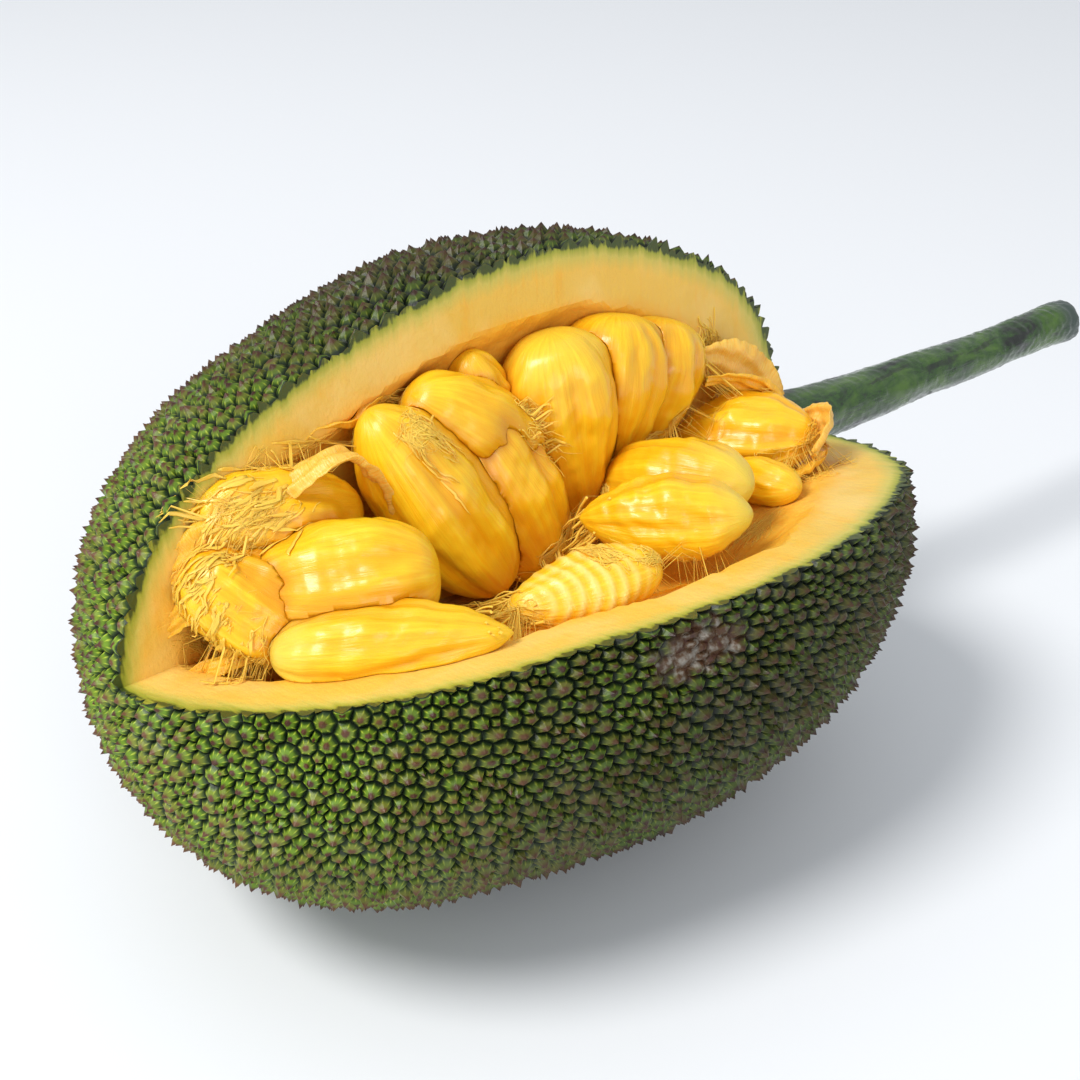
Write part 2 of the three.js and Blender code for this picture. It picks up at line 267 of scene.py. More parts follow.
class MeshWork:
    """Small operations on meshes that several sub-assemblies share."""

    @staticmethod
    def mesh_object(name: str, points: np.ndarray, faces: Sequence[Sequence[int]]) -> bpy.types.Object:
        """Make an object from millimetre points and faces, and link it to the scene.

        Args:
            name: The name of the object and of its mesh.
            points: The points, of shape (n, 3).
            faces: The corners of each face.

        Returns:
            The new object.
        """
        mesh = bpy.data.meshes.new(name)
        mesh.from_pydata(to_frame(points).tolist(), [], [list(face) for face in faces])
        mesh.update()
        made = bpy.data.objects.new(name, mesh)
        bpy.context.scene.collection.objects.link(made)
        return made

    @staticmethod
    def drop(thing: bpy.types.Object) -> None:
        """Delete an object that only served to make another.

        Args:
            thing: The object to delete, with its mesh.
        """
        mesh = thing.data
        bpy.data.objects.remove(thing)
        bpy.data.meshes.remove(mesh)

    @staticmethod
    def freeze(thing: bpy.types.Object) -> None:
        """Turn what an object's modifiers make into its own plain mesh.

        Args:
            thing: The object, which loses its modifiers.
        """
        bpy.context.view_layer.update()
        graph = bpy.context.evaluated_depsgraph_get()
        evaluated = thing.evaluated_get(graph)
        mesh = bpy.data.meshes.new_from_object(evaluated, preserve_all_data_layers=True, depsgraph=graph)
        old = thing.data
        mesh.name = old.name
        thing.modifiers.clear()
        thing.data = mesh
        bpy.data.meshes.remove(old)

    @staticmethod
    def combine(thing: bpy.types.Object, other: bpy.types.Object, how: str, keep: bool = False) -> None:
        """Cut, join or intersect a closed mesh with another.

        Args:
            thing: The object that is changed.
            other: The object that it is cut or joined with.
            how: DIFFERENCE, UNION or INTERSECT.
            keep: Whether the other object is still needed.
        """
        modifier = thing.modifiers.new("combine", "BOOLEAN")
        modifier.solver = "MANIFOLD"
        modifier.operation = how
        modifier.object = other
        modifier.material_mode = "TRANSFER"
        MeshWork.freeze(thing)
        if not keep:
            MeshWork.drop(other)

    @staticmethod
    def points_of(mesh: bpy.types.Mesh) -> np.ndarray:
        """Read a mesh's points as millimetres about the fruit's axis.

        Args:
            mesh: The mesh to read.

        Returns:
            The points, of shape (n, 3).
        """
        flat = np.empty(len(mesh.vertices) * 3)
        mesh.vertices.foreach_get("co", flat)
        return from_frame(flat.reshape(-1, 3))

    @staticmethod
    def store(mesh: bpy.types.Mesh, name: str, values: np.ndarray) -> None:
        """Keep one number for each point of a mesh under a name that materials can read."""
        layer = mesh.attributes.get(name) or mesh.attributes.new(name, "FLOAT", "POINT")
        layer.data.foreach_set("value", np.asarray(values, dtype=np.float32))

    @staticmethod
    def face_out(mesh: bpy.types.Mesh, in_triangles: bool = False) -> None:
        """Let all faces of closed bodies point outwards.

        Args:
            mesh: The mesh of the bodies.
            in_triangles: Whether its faces are first cut into triangles.
        """
        bm = bmesh.new()
        bm.from_mesh(mesh)
        if in_triangles:
            bmesh.ops.triangulate(bm, faces=bm.faces)
        bmesh.ops.recalc_face_normals(bm, faces=bm.faces)
        if bm.calc_volume(signed=True) < 0.0:
            bmesh.ops.reverse_faces(bm, faces=bm.faces)
        bm.to_mesh(mesh)
        bm.free()

    @staticmethod
    def smooth(mesh: bpy.types.Mesh) -> None:
        """Shade a mesh as one smooth surface."""
        mesh.polygons.foreach_set("use_smooth", np.ones(len(mesh.polygons), dtype=bool))

    @staticmethod
    def loft(name: str, rings: np.ndarray, ends: tuple[np.ndarray, np.ndarray]) -> bpy.types.Object:
        """Close rings of points, given in order, with a point at either end.

        Args:
            name: The name of the new object.
            rings: An array of shape (rings, sides, 3), each ring turning about the direction of travel.
            ends: The points that close the first and the last ring.

        Returns:
            The closed object, with a UV map of the way around and the way along.
        """
        count, sides, _ = rings.shape
        points = np.concatenate([rings.reshape(-1, 3), ends[0][None], ends[1][None]])
        faces: list[tuple[int, ...]] = []
        uvs: list[tuple[float, float]] = []
        tail, head = count * sides, count * sides + 1
        for side in range(sides):
            after = (side + 1) % sides
            low, high = side / sides, (side + 1) / sides
            faces.append((tail, after, side))
            uvs += [((low + high) / 2, 0.0), (high, 0.5 / count), (low, 0.5 / count)]
            for ring in range(count - 1):
                base, over = ring * sides, (ring + 1) * sides
                faces.append((base + side, base + after, over + after, over + side))
                start, stop = (ring + 0.5) / count, (ring + 1.5) / count
                uvs += [(low, start), (high, start), (high, stop), (low, stop)]
            last = (count - 1) * sides
            faces.append((head, last + side, last + after))
            uvs += [((low + high) / 2, 1.0), (low, 1.0 - 0.5 / count), (high, 1.0 - 0.5 / count)]
        made = MeshWork.mesh_object(name, points, faces)
        layer = made.data.uv_layers.new(name="way")
        layer.data.foreach_set("uv", np.array(uvs, dtype=np.float32).ravel())
        MeshWork.smooth(made.data)
        return made

    @staticmethod
    def tree_over(things: Sequence[bpy.types.Object]) -> BVHTree:
        """Build one search tree over the meshes of several objects, in metres.

        Args:
            things: The objects.

        Returns:
            The search tree.
        """
        bm = bmesh.new()
        for thing in things:
            bm.from_mesh(thing.data)
        tree = BVHTree.FromBMesh(bm)
        bm.free()
        return tree


class Recipe:
    """A node material while it is put together."""

    def __init__(self, name: str) -> None:
        """Start from a plain Principled shader.

        Args:
            name: The name of the material.
        """
        self.material = bpy.data.materials.new(name)
        self.material.use_nodes = True
        self.tree = self.material.node_tree
        self.shader = self.tree.nodes["Principled BSDF"]

    def add(self, kind: str, **settings: object) -> bpy.types.Node:
        """Add a node and set its plain properties.

        Args:
            kind: The type of the node.
            settings: The properties to set, by name.

        Returns:
            The new node.
        """
        node = self.tree.nodes.new(kind)
        for key, value in settings.items():
            setattr(node, key, value)
        return node

    def feed(self, socket: bpy.types.NodeSocket, value: object) -> None:
        """Link a socket, or set it to a plain value.

        Args:
            socket: The input to feed.
            value: Another node's output, or a plain value.
        """
        if isinstance(value, bpy.types.NodeSocket):
            self.tree.links.new(value, socket)
        elif isinstance(value, tuple) and len(value) == 3 and socket.type == "RGBA":
            socket.default_value = (*value, 1.0)
        else:
            socket.default_value = value

    def place(self, stretch: Triple = (1.0, 1.0, 1.0)) -> bpy.types.NodeSocket:
        """Give the object's own coordinates, stretched about its origin.

        Args:
            stretch: The scale along each axis.

        Returns:
            The socket of the coordinates.
        """
        mapping = self.add("ShaderNodeMapping")
        self.feed(mapping.inputs["Vector"], self.add("ShaderNodeTexCoord").outputs["Object"])
        mapping.inputs["Scale"].default_value = stretch
        return mapping.outputs["Vector"]

    def way(self, around: float, along: float, name: str = "way") -> bpy.types.NodeSocket:
        """Give a UV map, stretched around and along the piece.

        Args:
            around: The scale of the way around.
            along: The scale of the way along.
            name: The name of the UV map.

        Returns:
            The socket of the coordinates.
        """
        mapping = self.add("ShaderNodeMapping")
        self.feed(mapping.inputs["Vector"], self.add("ShaderNodeUVMap", uv_map=name).outputs["UV"])
        mapping.inputs["Scale"].default_value = (around, along, 1.0)
        return mapping.outputs["Vector"]

    def noise(
        self,
        scale: float,
        where: Optional[bpy.types.NodeSocket] = None,
        detail: float = 3.0,
        rough: float = 0.55,
        warp: float = 0.0,
    ) -> bpy.types.NodeSocket:
        """Add a noise pattern and give its height.

        Args:
            scale: How fine the pattern is.
            where: Its coordinates, or None for the object's own.
            detail: How many finer layers it has.
            rough: How strong the finer layers are.
            warp: How far it is distorted.

        Returns:
            The socket of the height.
        """
        node = self.add("ShaderNodeTexNoise")
        self.feed(node.inputs["Vector"], where or self.place())
        node.inputs["Scale"].default_value = scale
        node.inputs["Detail"].default_value = detail
        node.inputs["Roughness"].default_value = rough
        node.inputs["Distortion"].default_value = warp
        return node.outputs["Fac"]

    def attribute(self, name: str) -> bpy.types.NodeSocket:
        """Read a number stored on the mesh."""
        return self.add("ShaderNodeAttribute", attribute_name=name).outputs["Fac"]

    def ramp(
        self, value: bpy.types.NodeSocket, stops: Sequence[tuple[float, Triple]]
    ) -> bpy.types.NodeSocket:
        """Turn a number into a colour through stops of (place, colour).

        Args:
            value: The number.
            stops: The places from 0 to 1, each with its colour.

        Returns:
            The socket of the colour.
        """
        node = self.add("ShaderNodeValToRGB")
        elements = node.color_ramp.elements
        while len(elements) < len(stops):
            elements.new(0.5)
        for element, (place, colour) in zip(elements, stops):
            element.position = place
            element.color = (*colour, 1.0)
        self.feed(node.inputs["Fac"], value)
        return node.outputs["Color"]

    def span(
        self, value: object, low: float, high: float, to_low: float = 0.0, to_high: float = 1.0
    ) -> bpy.types.NodeSocket:
        """Carry the range low to high onto another range, held at its ends.

        Args:
            value: The number.
            low: Where its range starts.
            high: Where its range ends.
            to_low: What the start becomes.
            to_high: What the end becomes.

        Returns:
            The socket of the new number.
        """
        node = self.add("ShaderNodeMapRange")
        node.interpolation_type = "SMOOTHSTEP"
        for place, number in enumerate((value, low, high, to_low, to_high)):
            self.feed(node.inputs[place], number)
        return node.outputs["Result"]

    def maths(self, how: str, first: object, second: object = 0.0) -> bpy.types.NodeSocket:
        """Add a Math node and give its value.

        Args:
            how: The operation.
            first: The first number.
            second: The second number.

        Returns:
            The socket of the result.
        """
        node = self.add("ShaderNodeMath", operation=how)
        self.feed(node.inputs[0], first)
        self.feed(node.inputs[1], second)
        return node.outputs["Value"]

    def mix(self, share: object, first: object, second: object, how: str = "MIX") -> bpy.types.NodeSocket:
        """Blend two colours.

        Args:
            share: How much of the second shows.
            first: The first colour.
            second: The second colour.
            how: The way of blending.

        Returns:
            The socket of the blend.
        """
        node = self.add("ShaderNodeMix", data_type="RGBA", blend_type=how)
        self.feed(node.inputs["Factor"], share)
        self.feed(node.inputs[6], first)
        self.feed(node.inputs[7], second)
        return node.outputs[2]

    def bump(self, height: object, distance: float, strength: float = 1.0) -> None:
        """Raise the surface's normal by a height.

        Args:
            height: The height, from 0 to 1.
            distance: How high 1 stands, in metres.
            strength: How much of it shows.
        """
        node = self.add("ShaderNodeBump")
        node.inputs["Distance"].default_value = distance
        node.inputs["Strength"].default_value = strength
        self.feed(node.inputs["Height"], height)
        self.feed(self.shader.inputs["Normal"], node.outputs["Normal"])

    def plain(self, **values: object) -> None:
        """Set sockets of the shader that are the same all over the surface."""
        for name, value in values.items():
            self.feed(self.shader.inputs[name.replace("_", " ")], value)


class Grower:
    """A Geometry Nodes tree while it is put together."""

    def __init__(self, name: str, sizes: dict[str, str]) -> None:
        """Start a tree with one named input for each size.

        Args:
            name: The name of the tree.
            sizes: The kind of socket for the name of each input.
        """
        self.tree = bpy.data.node_groups.new(name, "GeometryNodeTree")
        self.socket("Geometry", "Geometry", "INPUT")
        for label, kind in sizes.items():
            self.socket(label, kind, "INPUT")
        self.socket("Geometry", "Geometry", "OUTPUT")
        self.given = self.tree.nodes.new("NodeGroupInput").outputs

    def socket(self, name: str, kind: str, way: str) -> None:
        """Give the tree an input or an output."""
        self.tree.interface.new_socket(name=name, in_out=way, socket_type=f"NodeSocket{kind}")

    def add(self, kind: str, feeds: dict[Union[str, int], object], **settings: object) -> bpy.types.Node:
        """Add a node.

        Args:
            kind: The type of the node.
            feeds: What each input gets: another node's output, or a plain value.
            settings: The plain properties of the node.

        Returns:
            The new node.
        """
        node = self.tree.nodes.new(kind)
        for key, value in settings.items():
            setattr(node, key, value)
        for name, value in feeds.items():
            if isinstance(value, bpy.types.NodeSocket):
                self.tree.links.new(value, node.inputs[name])
            else:
                node.inputs[name].default_value = value
        return node

    def stored(self, name: str, kind: str = "FLOAT") -> bpy.types.NodeSocket:
        """Read a number that is stored on the mesh."""
        node = self.add("GeometryNodeInputNamedAttribute", {"Name": name}, data_type=kind)
        return node.outputs["Attribute"]

    def times(self, first: object, second: object) -> bpy.types.NodeSocket:
        """Multiply two numbers."""
        return self.add("ShaderNodeMath", {0: first, 1: second}, operation="MULTIPLY").outputs[0]

    def finish(self, geometry: bpy.types.NodeSocket, finish: str) -> None:
        """End the tree: dress what it made in the material of the named input, and make it real.

        Args:
            geometry: What the tree made.
            finish: The name of the input that holds the material.
        """
        wear = self.add("GeometryNodeSetMaterial", {"Geometry": geometry, "Material": self.given[finish]})
        real = self.add("GeometryNodeRealizeInstances", {0: wear.outputs[0]})
        self.add("NodeGroupOutput", {0: real.outputs[0]})

    def run(self, thing: bpy.types.Object, values: dict[str, object]) -> None:
        """Let the tree change an object, and keep the result as its plain mesh.

        Args:
            thing: The object whose mesh the tree starts from.
            values: The value of each named input.
        """
        modifier = thing.modifiers.new(self.tree.name, "NODES")
        modifier.node_group = self.tree
        for item in self.tree.interface.items_tree:
            if item.item_type == "SOCKET" and item.in_out == "INPUT" and item.name in values:
                modifier[item.identifier] = values[item.name]
        MeshWork.freeze(thing)


@dataclass(frozen=True)
class SkinFinish:
    """Green tubercles with yellow-green ridges, dark valleys and brown tips; the valleys hold painted shade,
    and painted light makes the skin lighter at the left end and darker towards the stalk.
    """

    # Valleys between the tubercles: partly the skin's own darker green, partly painted shade
    valley_shade: Triple = (0.006, 0.011, 0.005)
    foot: Triple = (0.016, 0.036, 0.005)
    side: Triple = (0.088, 0.160, 0.008)
    ridge: Triple = (0.360, 0.430, 0.040)
    tip: Triple = (0.050, 0.016, 0.009)
    brown: Triple = (0.074, 0.036, 0.013)
    crust: Triple = (0.21, 0.19, 0.16)
    # Places along X, in metres: painted light is full up to bright_end and turns into painted shade by
    # shaded_end; browning grows from bright_end to dull_end
    bright_end: float = -0.17
    dull_end: float = 0.04
    shaded_end: float = -0.01

    def material(self) -> bpy.types.Material:
        """Build the material that the tubercles wear.

        Returns:
            The finished material.
        """
        recipe = Recipe("jackfruit skin")
        rise = recipe.attribute("rise")
        tone = recipe.attribute("tone")
        fine = recipe.noise(700.0, detail=3.0)
        ragged = recipe.maths("MULTIPLY", recipe.maths("SUBTRACT", fine, 0.5), 0.3)
        height = recipe.maths("ADD", rise, ragged)
        # Painted shade: the colour darkens from the flanks through the foot into the valleys
        green = recipe.ramp(
            height,
            [
                (0.06, self.valley_shade),
                (0.22, self.foot),
                (0.46, self.side),
                (0.62, self.side),
                (0.78, self.tip),
                (1.0, self.tip),
            ],
        )
        facet = recipe.add("ShaderNodeSeparateXYZ")
        recipe.feed(facet.inputs[0], recipe.way(1.0, 1.0, "facet"))
        edge = recipe.maths("ABSOLUTE", recipe.maths("SUBTRACT", facet.outputs["X"], 0.5))
        # Lighter along the ridges where the flanks of a tubercle meet
        edge_band = recipe.span(recipe.maths("ADD", edge, recipe.maths("MULTIPLY", ragged, 0.5)), 0.3, 0.5)
        upper = recipe.maths("MULTIPLY", recipe.span(height, 0.12, 0.5), recipe.span(height, 0.86, 0.6))
        ridge = recipe.maths("MULTIPLY", edge_band, upper)
        ridged = recipe.mix(recipe.maths("MULTIPLY", ridge, 0.8), green, self.ridge)
        where = recipe.add("ShaderNodeSeparateXYZ")
        recipe.feed(where.inputs[0], recipe.place())
        along = where.outputs["X"]
        dull = recipe.span(along, self.bright_end, self.dull_end, 0.0, 0.28)
        spots = recipe.maths("ADD", recipe.noise(16.0, detail=3.0), recipe.maths("MULTIPLY", tone, 0.5))
        browned = recipe.maths("ADD", dull, recipe.span(spots, 0.5, 0.95, -0.15, 0.75))
        brown = recipe.mix(recipe.span(height, 0.2, 0.6), self.valley_shade, self.brown)
        aged = recipe.mix(recipe.maths("MULTIPLY", browned, 0.75), ridged, brown)
        # Painted light and shade: almost twice as bright at the left end, darker towards the stalk, times
        # the random tone
        light = recipe.span(along, self.bright_end, self.shaded_end, 1.95, 0.7)
        shade = recipe.maths("MULTIPLY", recipe.span(tone, 0.0, 1.0, 0.75, 1.25), light)
        tone_and_painted_light = recipe.add("ShaderNodeCombineXYZ")
        for place in range(3):
            recipe.feed(tone_and_painted_light.inputs[place], shade)
        shaded = recipe.mix(1.0, aged, tone_and_painted_light.outputs[0], "MULTIPLY")
        crust = recipe.ramp(
            recipe.noise(330.0, detail=4.0), [(0.36, self.tip), (0.5, self.brown), (0.66, self.crust)]
        )
        crusted = recipe.mix(recipe.attribute("scar"), shaded, crust)
        recipe.plain(Base_Color=crusted, Roughness=0.42, Specular_IOR_Level=0.35)
        recipe.bump(fine, 0.0005, 0.5)
        return recipe.material


@dataclass(frozen=True)
class FleshFinish:
    """Cut rind and flesh: green under the skin, then cream, then orange in the hollow."""

    skin: Triple = (0.050, 0.075, 0.010)
    green: Triple = (0.34, 0.37, 0.035)
    lime: Triple = (0.62, 0.53, 0.10)
    cream: Triple = (0.84, 0.54, 0.080)
    pale: Triple = (0.90, 0.65, 0.20)
    deep: Triple = (0.88, 0.44, 0.020)
    hollow: Triple = (0.95, 0.52, 0.055)
    shade: Triple = (0.88, 0.37, 0.014)

    def material(self) -> bpy.types.Material:
        """Build the material of everything that the knife opened.

        Returns:
            The finished material.
        """
        recipe = Recipe("jackfruit flesh")
        streak = recipe.noise(1.0, recipe.place((300.0, 45.0, 45.0)), detail=3.0)
        grain = recipe.noise(420.0, detail=3.0)
        cloud = recipe.noise(24.0, detail=3.0, warp=0.5)
        wander = recipe.maths("MULTIPLY", recipe.maths("SUBTRACT", streak, 0.5), 0.2)
        place = recipe.maths("ADD", recipe.attribute("depth"), wander)
        rind = recipe.ramp(
            place,
            [
                (0.0, self.skin),
                (0.012, self.skin),
                (0.04, self.green),
                (0.13, self.lime),
                (0.30, self.cream),
                (0.6, self.cream),
                (0.95, self.deep),
            ],
        )
        veins = recipe.noise(1.0, recipe.place((150.0, 24.0, 24.0)), detail=4.0, rough=0.65)
        veined = recipe.mix(recipe.span(veins, 0.5, 0.68, 0.0, 0.45), rind, self.deep)
        clouded = recipe.mix(recipe.span(cloud, 0.42, 0.66, 0.0, 0.65), veined, self.pale)
        kept = recipe.mix(recipe.span(place, 0.08, 0.32), rind, clouded)
        inside = recipe.mix(recipe.span(streak, 0.35, 0.75), self.shade, self.hollow)
        lines = recipe.noise(1.0, recipe.place((40.0, 260.0, 260.0)), detail=3.0)
        fibrous = recipe.mix(recipe.span(lines, 0.3, 0.6), inside, self.hollow)
        colour = recipe.mix(recipe.attribute("hollow"), kept, fibrous)
        recipe.plain(Base_Color=colour, Roughness=0.42, Subsurface_Weight=0.12)
        recipe.plain(Subsurface_Radius=(0.9, 0.45, 0.12), Subsurface_Scale=0.003)
        recipe.bump(recipe.maths("ADD", recipe.maths("MULTIPLY", streak, 0.8), grain), 0.0006, 0.55)
        return recipe.material


@dataclass(frozen=True)
class BulbFinish:
    """Moist golden flesh, greener at the blunt end, with painted shade: deeper orange in the creases and
    darker where bulbs touch.
    """

    gold: Triple = (0.93, 0.490, 0.004)
    deep: Triple = (0.89, 0.395, 0.001)
    pale: Triple = (0.97, 0.640, 0.020)
    # Painted shade where bulbs touch
    contact_shade: Triple = (0.62, 0.185, 0.001)
    green: Triple = (0.80, 0.66, 0.090)
    valley_shade: Triple = (0.88, 0.380, 0.002)
    fibre: Triple = (0.97, 0.72, 0.20)

    def material(self) -> bpy.types.Material:
        """Build the material that every bulb wears.

        Returns:
            The finished material.
        """
        recipe = Recipe("jackfruit bulb")
        streak = recipe.noise(9.0, recipe.way(7.0, 0.5), detail=4.0)
        thread = recipe.noise(9.0, recipe.way(40.0, 0.8), detail=3.0)
        cloud = recipe.noise(38.0, detail=3.0)
        body = recipe.ramp(streak, [(0.2, self.deep), (0.4, self.gold), (0.68, self.pale)])
        clouded = recipe.mix(recipe.span(cloud, 0.4, 0.75, 0.0, 0.6), body, self.pale)
        # Painted shade: the creases are painted a deeper orange
        folded = recipe.mix(recipe.attribute("fold"), clouded, self.valley_shade)
        banded = recipe.mix(recipe.attribute("band"), folded, self.fibre)
        tipped = recipe.mix(recipe.attribute("green"), banded, self.green)
        # Painted shade: darker orange where a bulb lies close to another
        contact_shaded = recipe.mix(recipe.attribute("press"), tipped, self.contact_shade)
        recipe.plain(Base_Color=contact_shaded, Roughness=0.30, Subsurface_Weight=0.15)
        recipe.plain(Subsurface_Radius=(1.0, 0.42, 0.08), Subsurface_Scale=0.003)
        recipe.plain(Coat_Weight=0.22, Coat_Roughness=0.16)
        recipe.bump(recipe.maths("ADD", streak, recipe.maths("MULTIPLY", thread, 0.35)), 0.0008, 0.45)
        return recipe.material


@dataclass(frozen=True)
class RagFinish:
    """Pale moist fibre of the rag and of the loose strands."""

    name: str = "jackfruit rag"
    pale: Triple = (0.94, 0.62, 0.14)
    gold: Triple = (0.90, 0.43, 0.025)
    roughness: float = 0.35
    shine: float = 0.5

    def material(self) -> bpy.types.Material:
        """Build the material of the flat ribbons between the bulbs.

        Returns:
            The finished material.
        """
        recipe = Recipe(self.name)
        streak = recipe.noise(12.0, recipe.way(0.7, 8.0), detail=3.0)
        colour = recipe.ramp(streak, [(0.3, self.gold), (0.7, self.pale)])
        recipe.plain(Base_Color=colour, Roughness=self.roughness, Specular_IOR_Level=self.shine)
        recipe.plain(Subsurface_Weight=0.2)
        recipe.plain(Subsurface_Radius=(1.0, 0.5, 0.12), Subsurface_Scale=0.003)
        recipe.bump(streak, 0.001, 0.5)
        return recipe.material


SHRED_FINISH = RagFinish(name="jackfruit shreds", pale=(0.94, 0.56, 0.06), gold=(0.90, 0.42, 0.010))
FLAKE_FINISH = RagFinish(name="jackfruit flakes", pale=(0.98, 0.66, 0.11), gold=(0.95, 0.52, 0.03))
FIBRE_FINISH = RagFinish(
    name="jackfruit fibre", pale=(0.97, 0.68, 0.13), gold=(0.95, 0.58, 0.06), roughness=0.55, shine=0.2
)


@dataclass(frozen=True)
class CoreFinish:
    """Stringy brown middle of the fruit."""

    light: Triple = (0.70, 0.38, 0.10)
    dark: Triple = (0.34, 0.12, 0.015)

    def material(self) -> bpy.types.Material:
        """Build the material of the core.

        Returns:
            The finished material.
        """
        recipe = Recipe("jackfruit core")
        streak = recipe.noise(14.0, recipe.way(10.0, 0.7), detail=4.0)
        recipe.plain(Base_Color=recipe.ramp(streak, [(0.3, self.dark), (0.7, self.light)]), Roughness=0.5)
        recipe.bump(streak, 0.002, 0.6)
        return recipe.material


@dataclass(frozen=True)
class StalkFinish:
    """Waxy green bark with black patches and a dark corky end."""

    green: Triple = (0.020, 0.060, 0.008)
    light: Triple = (0.055, 0.120, 0.012)
    black: Triple = (0.007, 0.010, 0.007)
    cork: Triple = (0.040, 0.060, 0.052)

    def material(self) -> bpy.types.Material:
        """Build the material of the stalk.

        Returns:
            The finished material.
        """
        recipe = Recipe("jackfruit stalk")
        blotch = recipe.noise(95.0, recipe.place((0.5, 1.0, 1.0)), detail=6.0, rough=0.65, warp=0.4)
        fine = recipe.noise(500.0, detail=3.0)
        bark = recipe.ramp(blotch, [(0.36, self.black), (0.46, self.green), (0.62, self.light)])
        crack = recipe.noise(150.0, recipe.place((0.14, 1.0, 1.0)), detail=4.0, rough=0.6)
        cracked = recipe.mix(recipe.span(crack, 0.56, 0.66, 0.0, 0.7), bark, self.black)
        end = recipe.mix(recipe.attribute("cork"), cracked, self.cork)
        recipe.plain(Base_Color=end, Roughness=0.2, Coat_Weight=0.5, Coat_Roughness=0.14)
        recipe.bump(recipe.maths("SUBTRACT", recipe.maths("MULTIPLY", fine, 0.3), crack), 0.0014, 0.7)
        return recipe.material


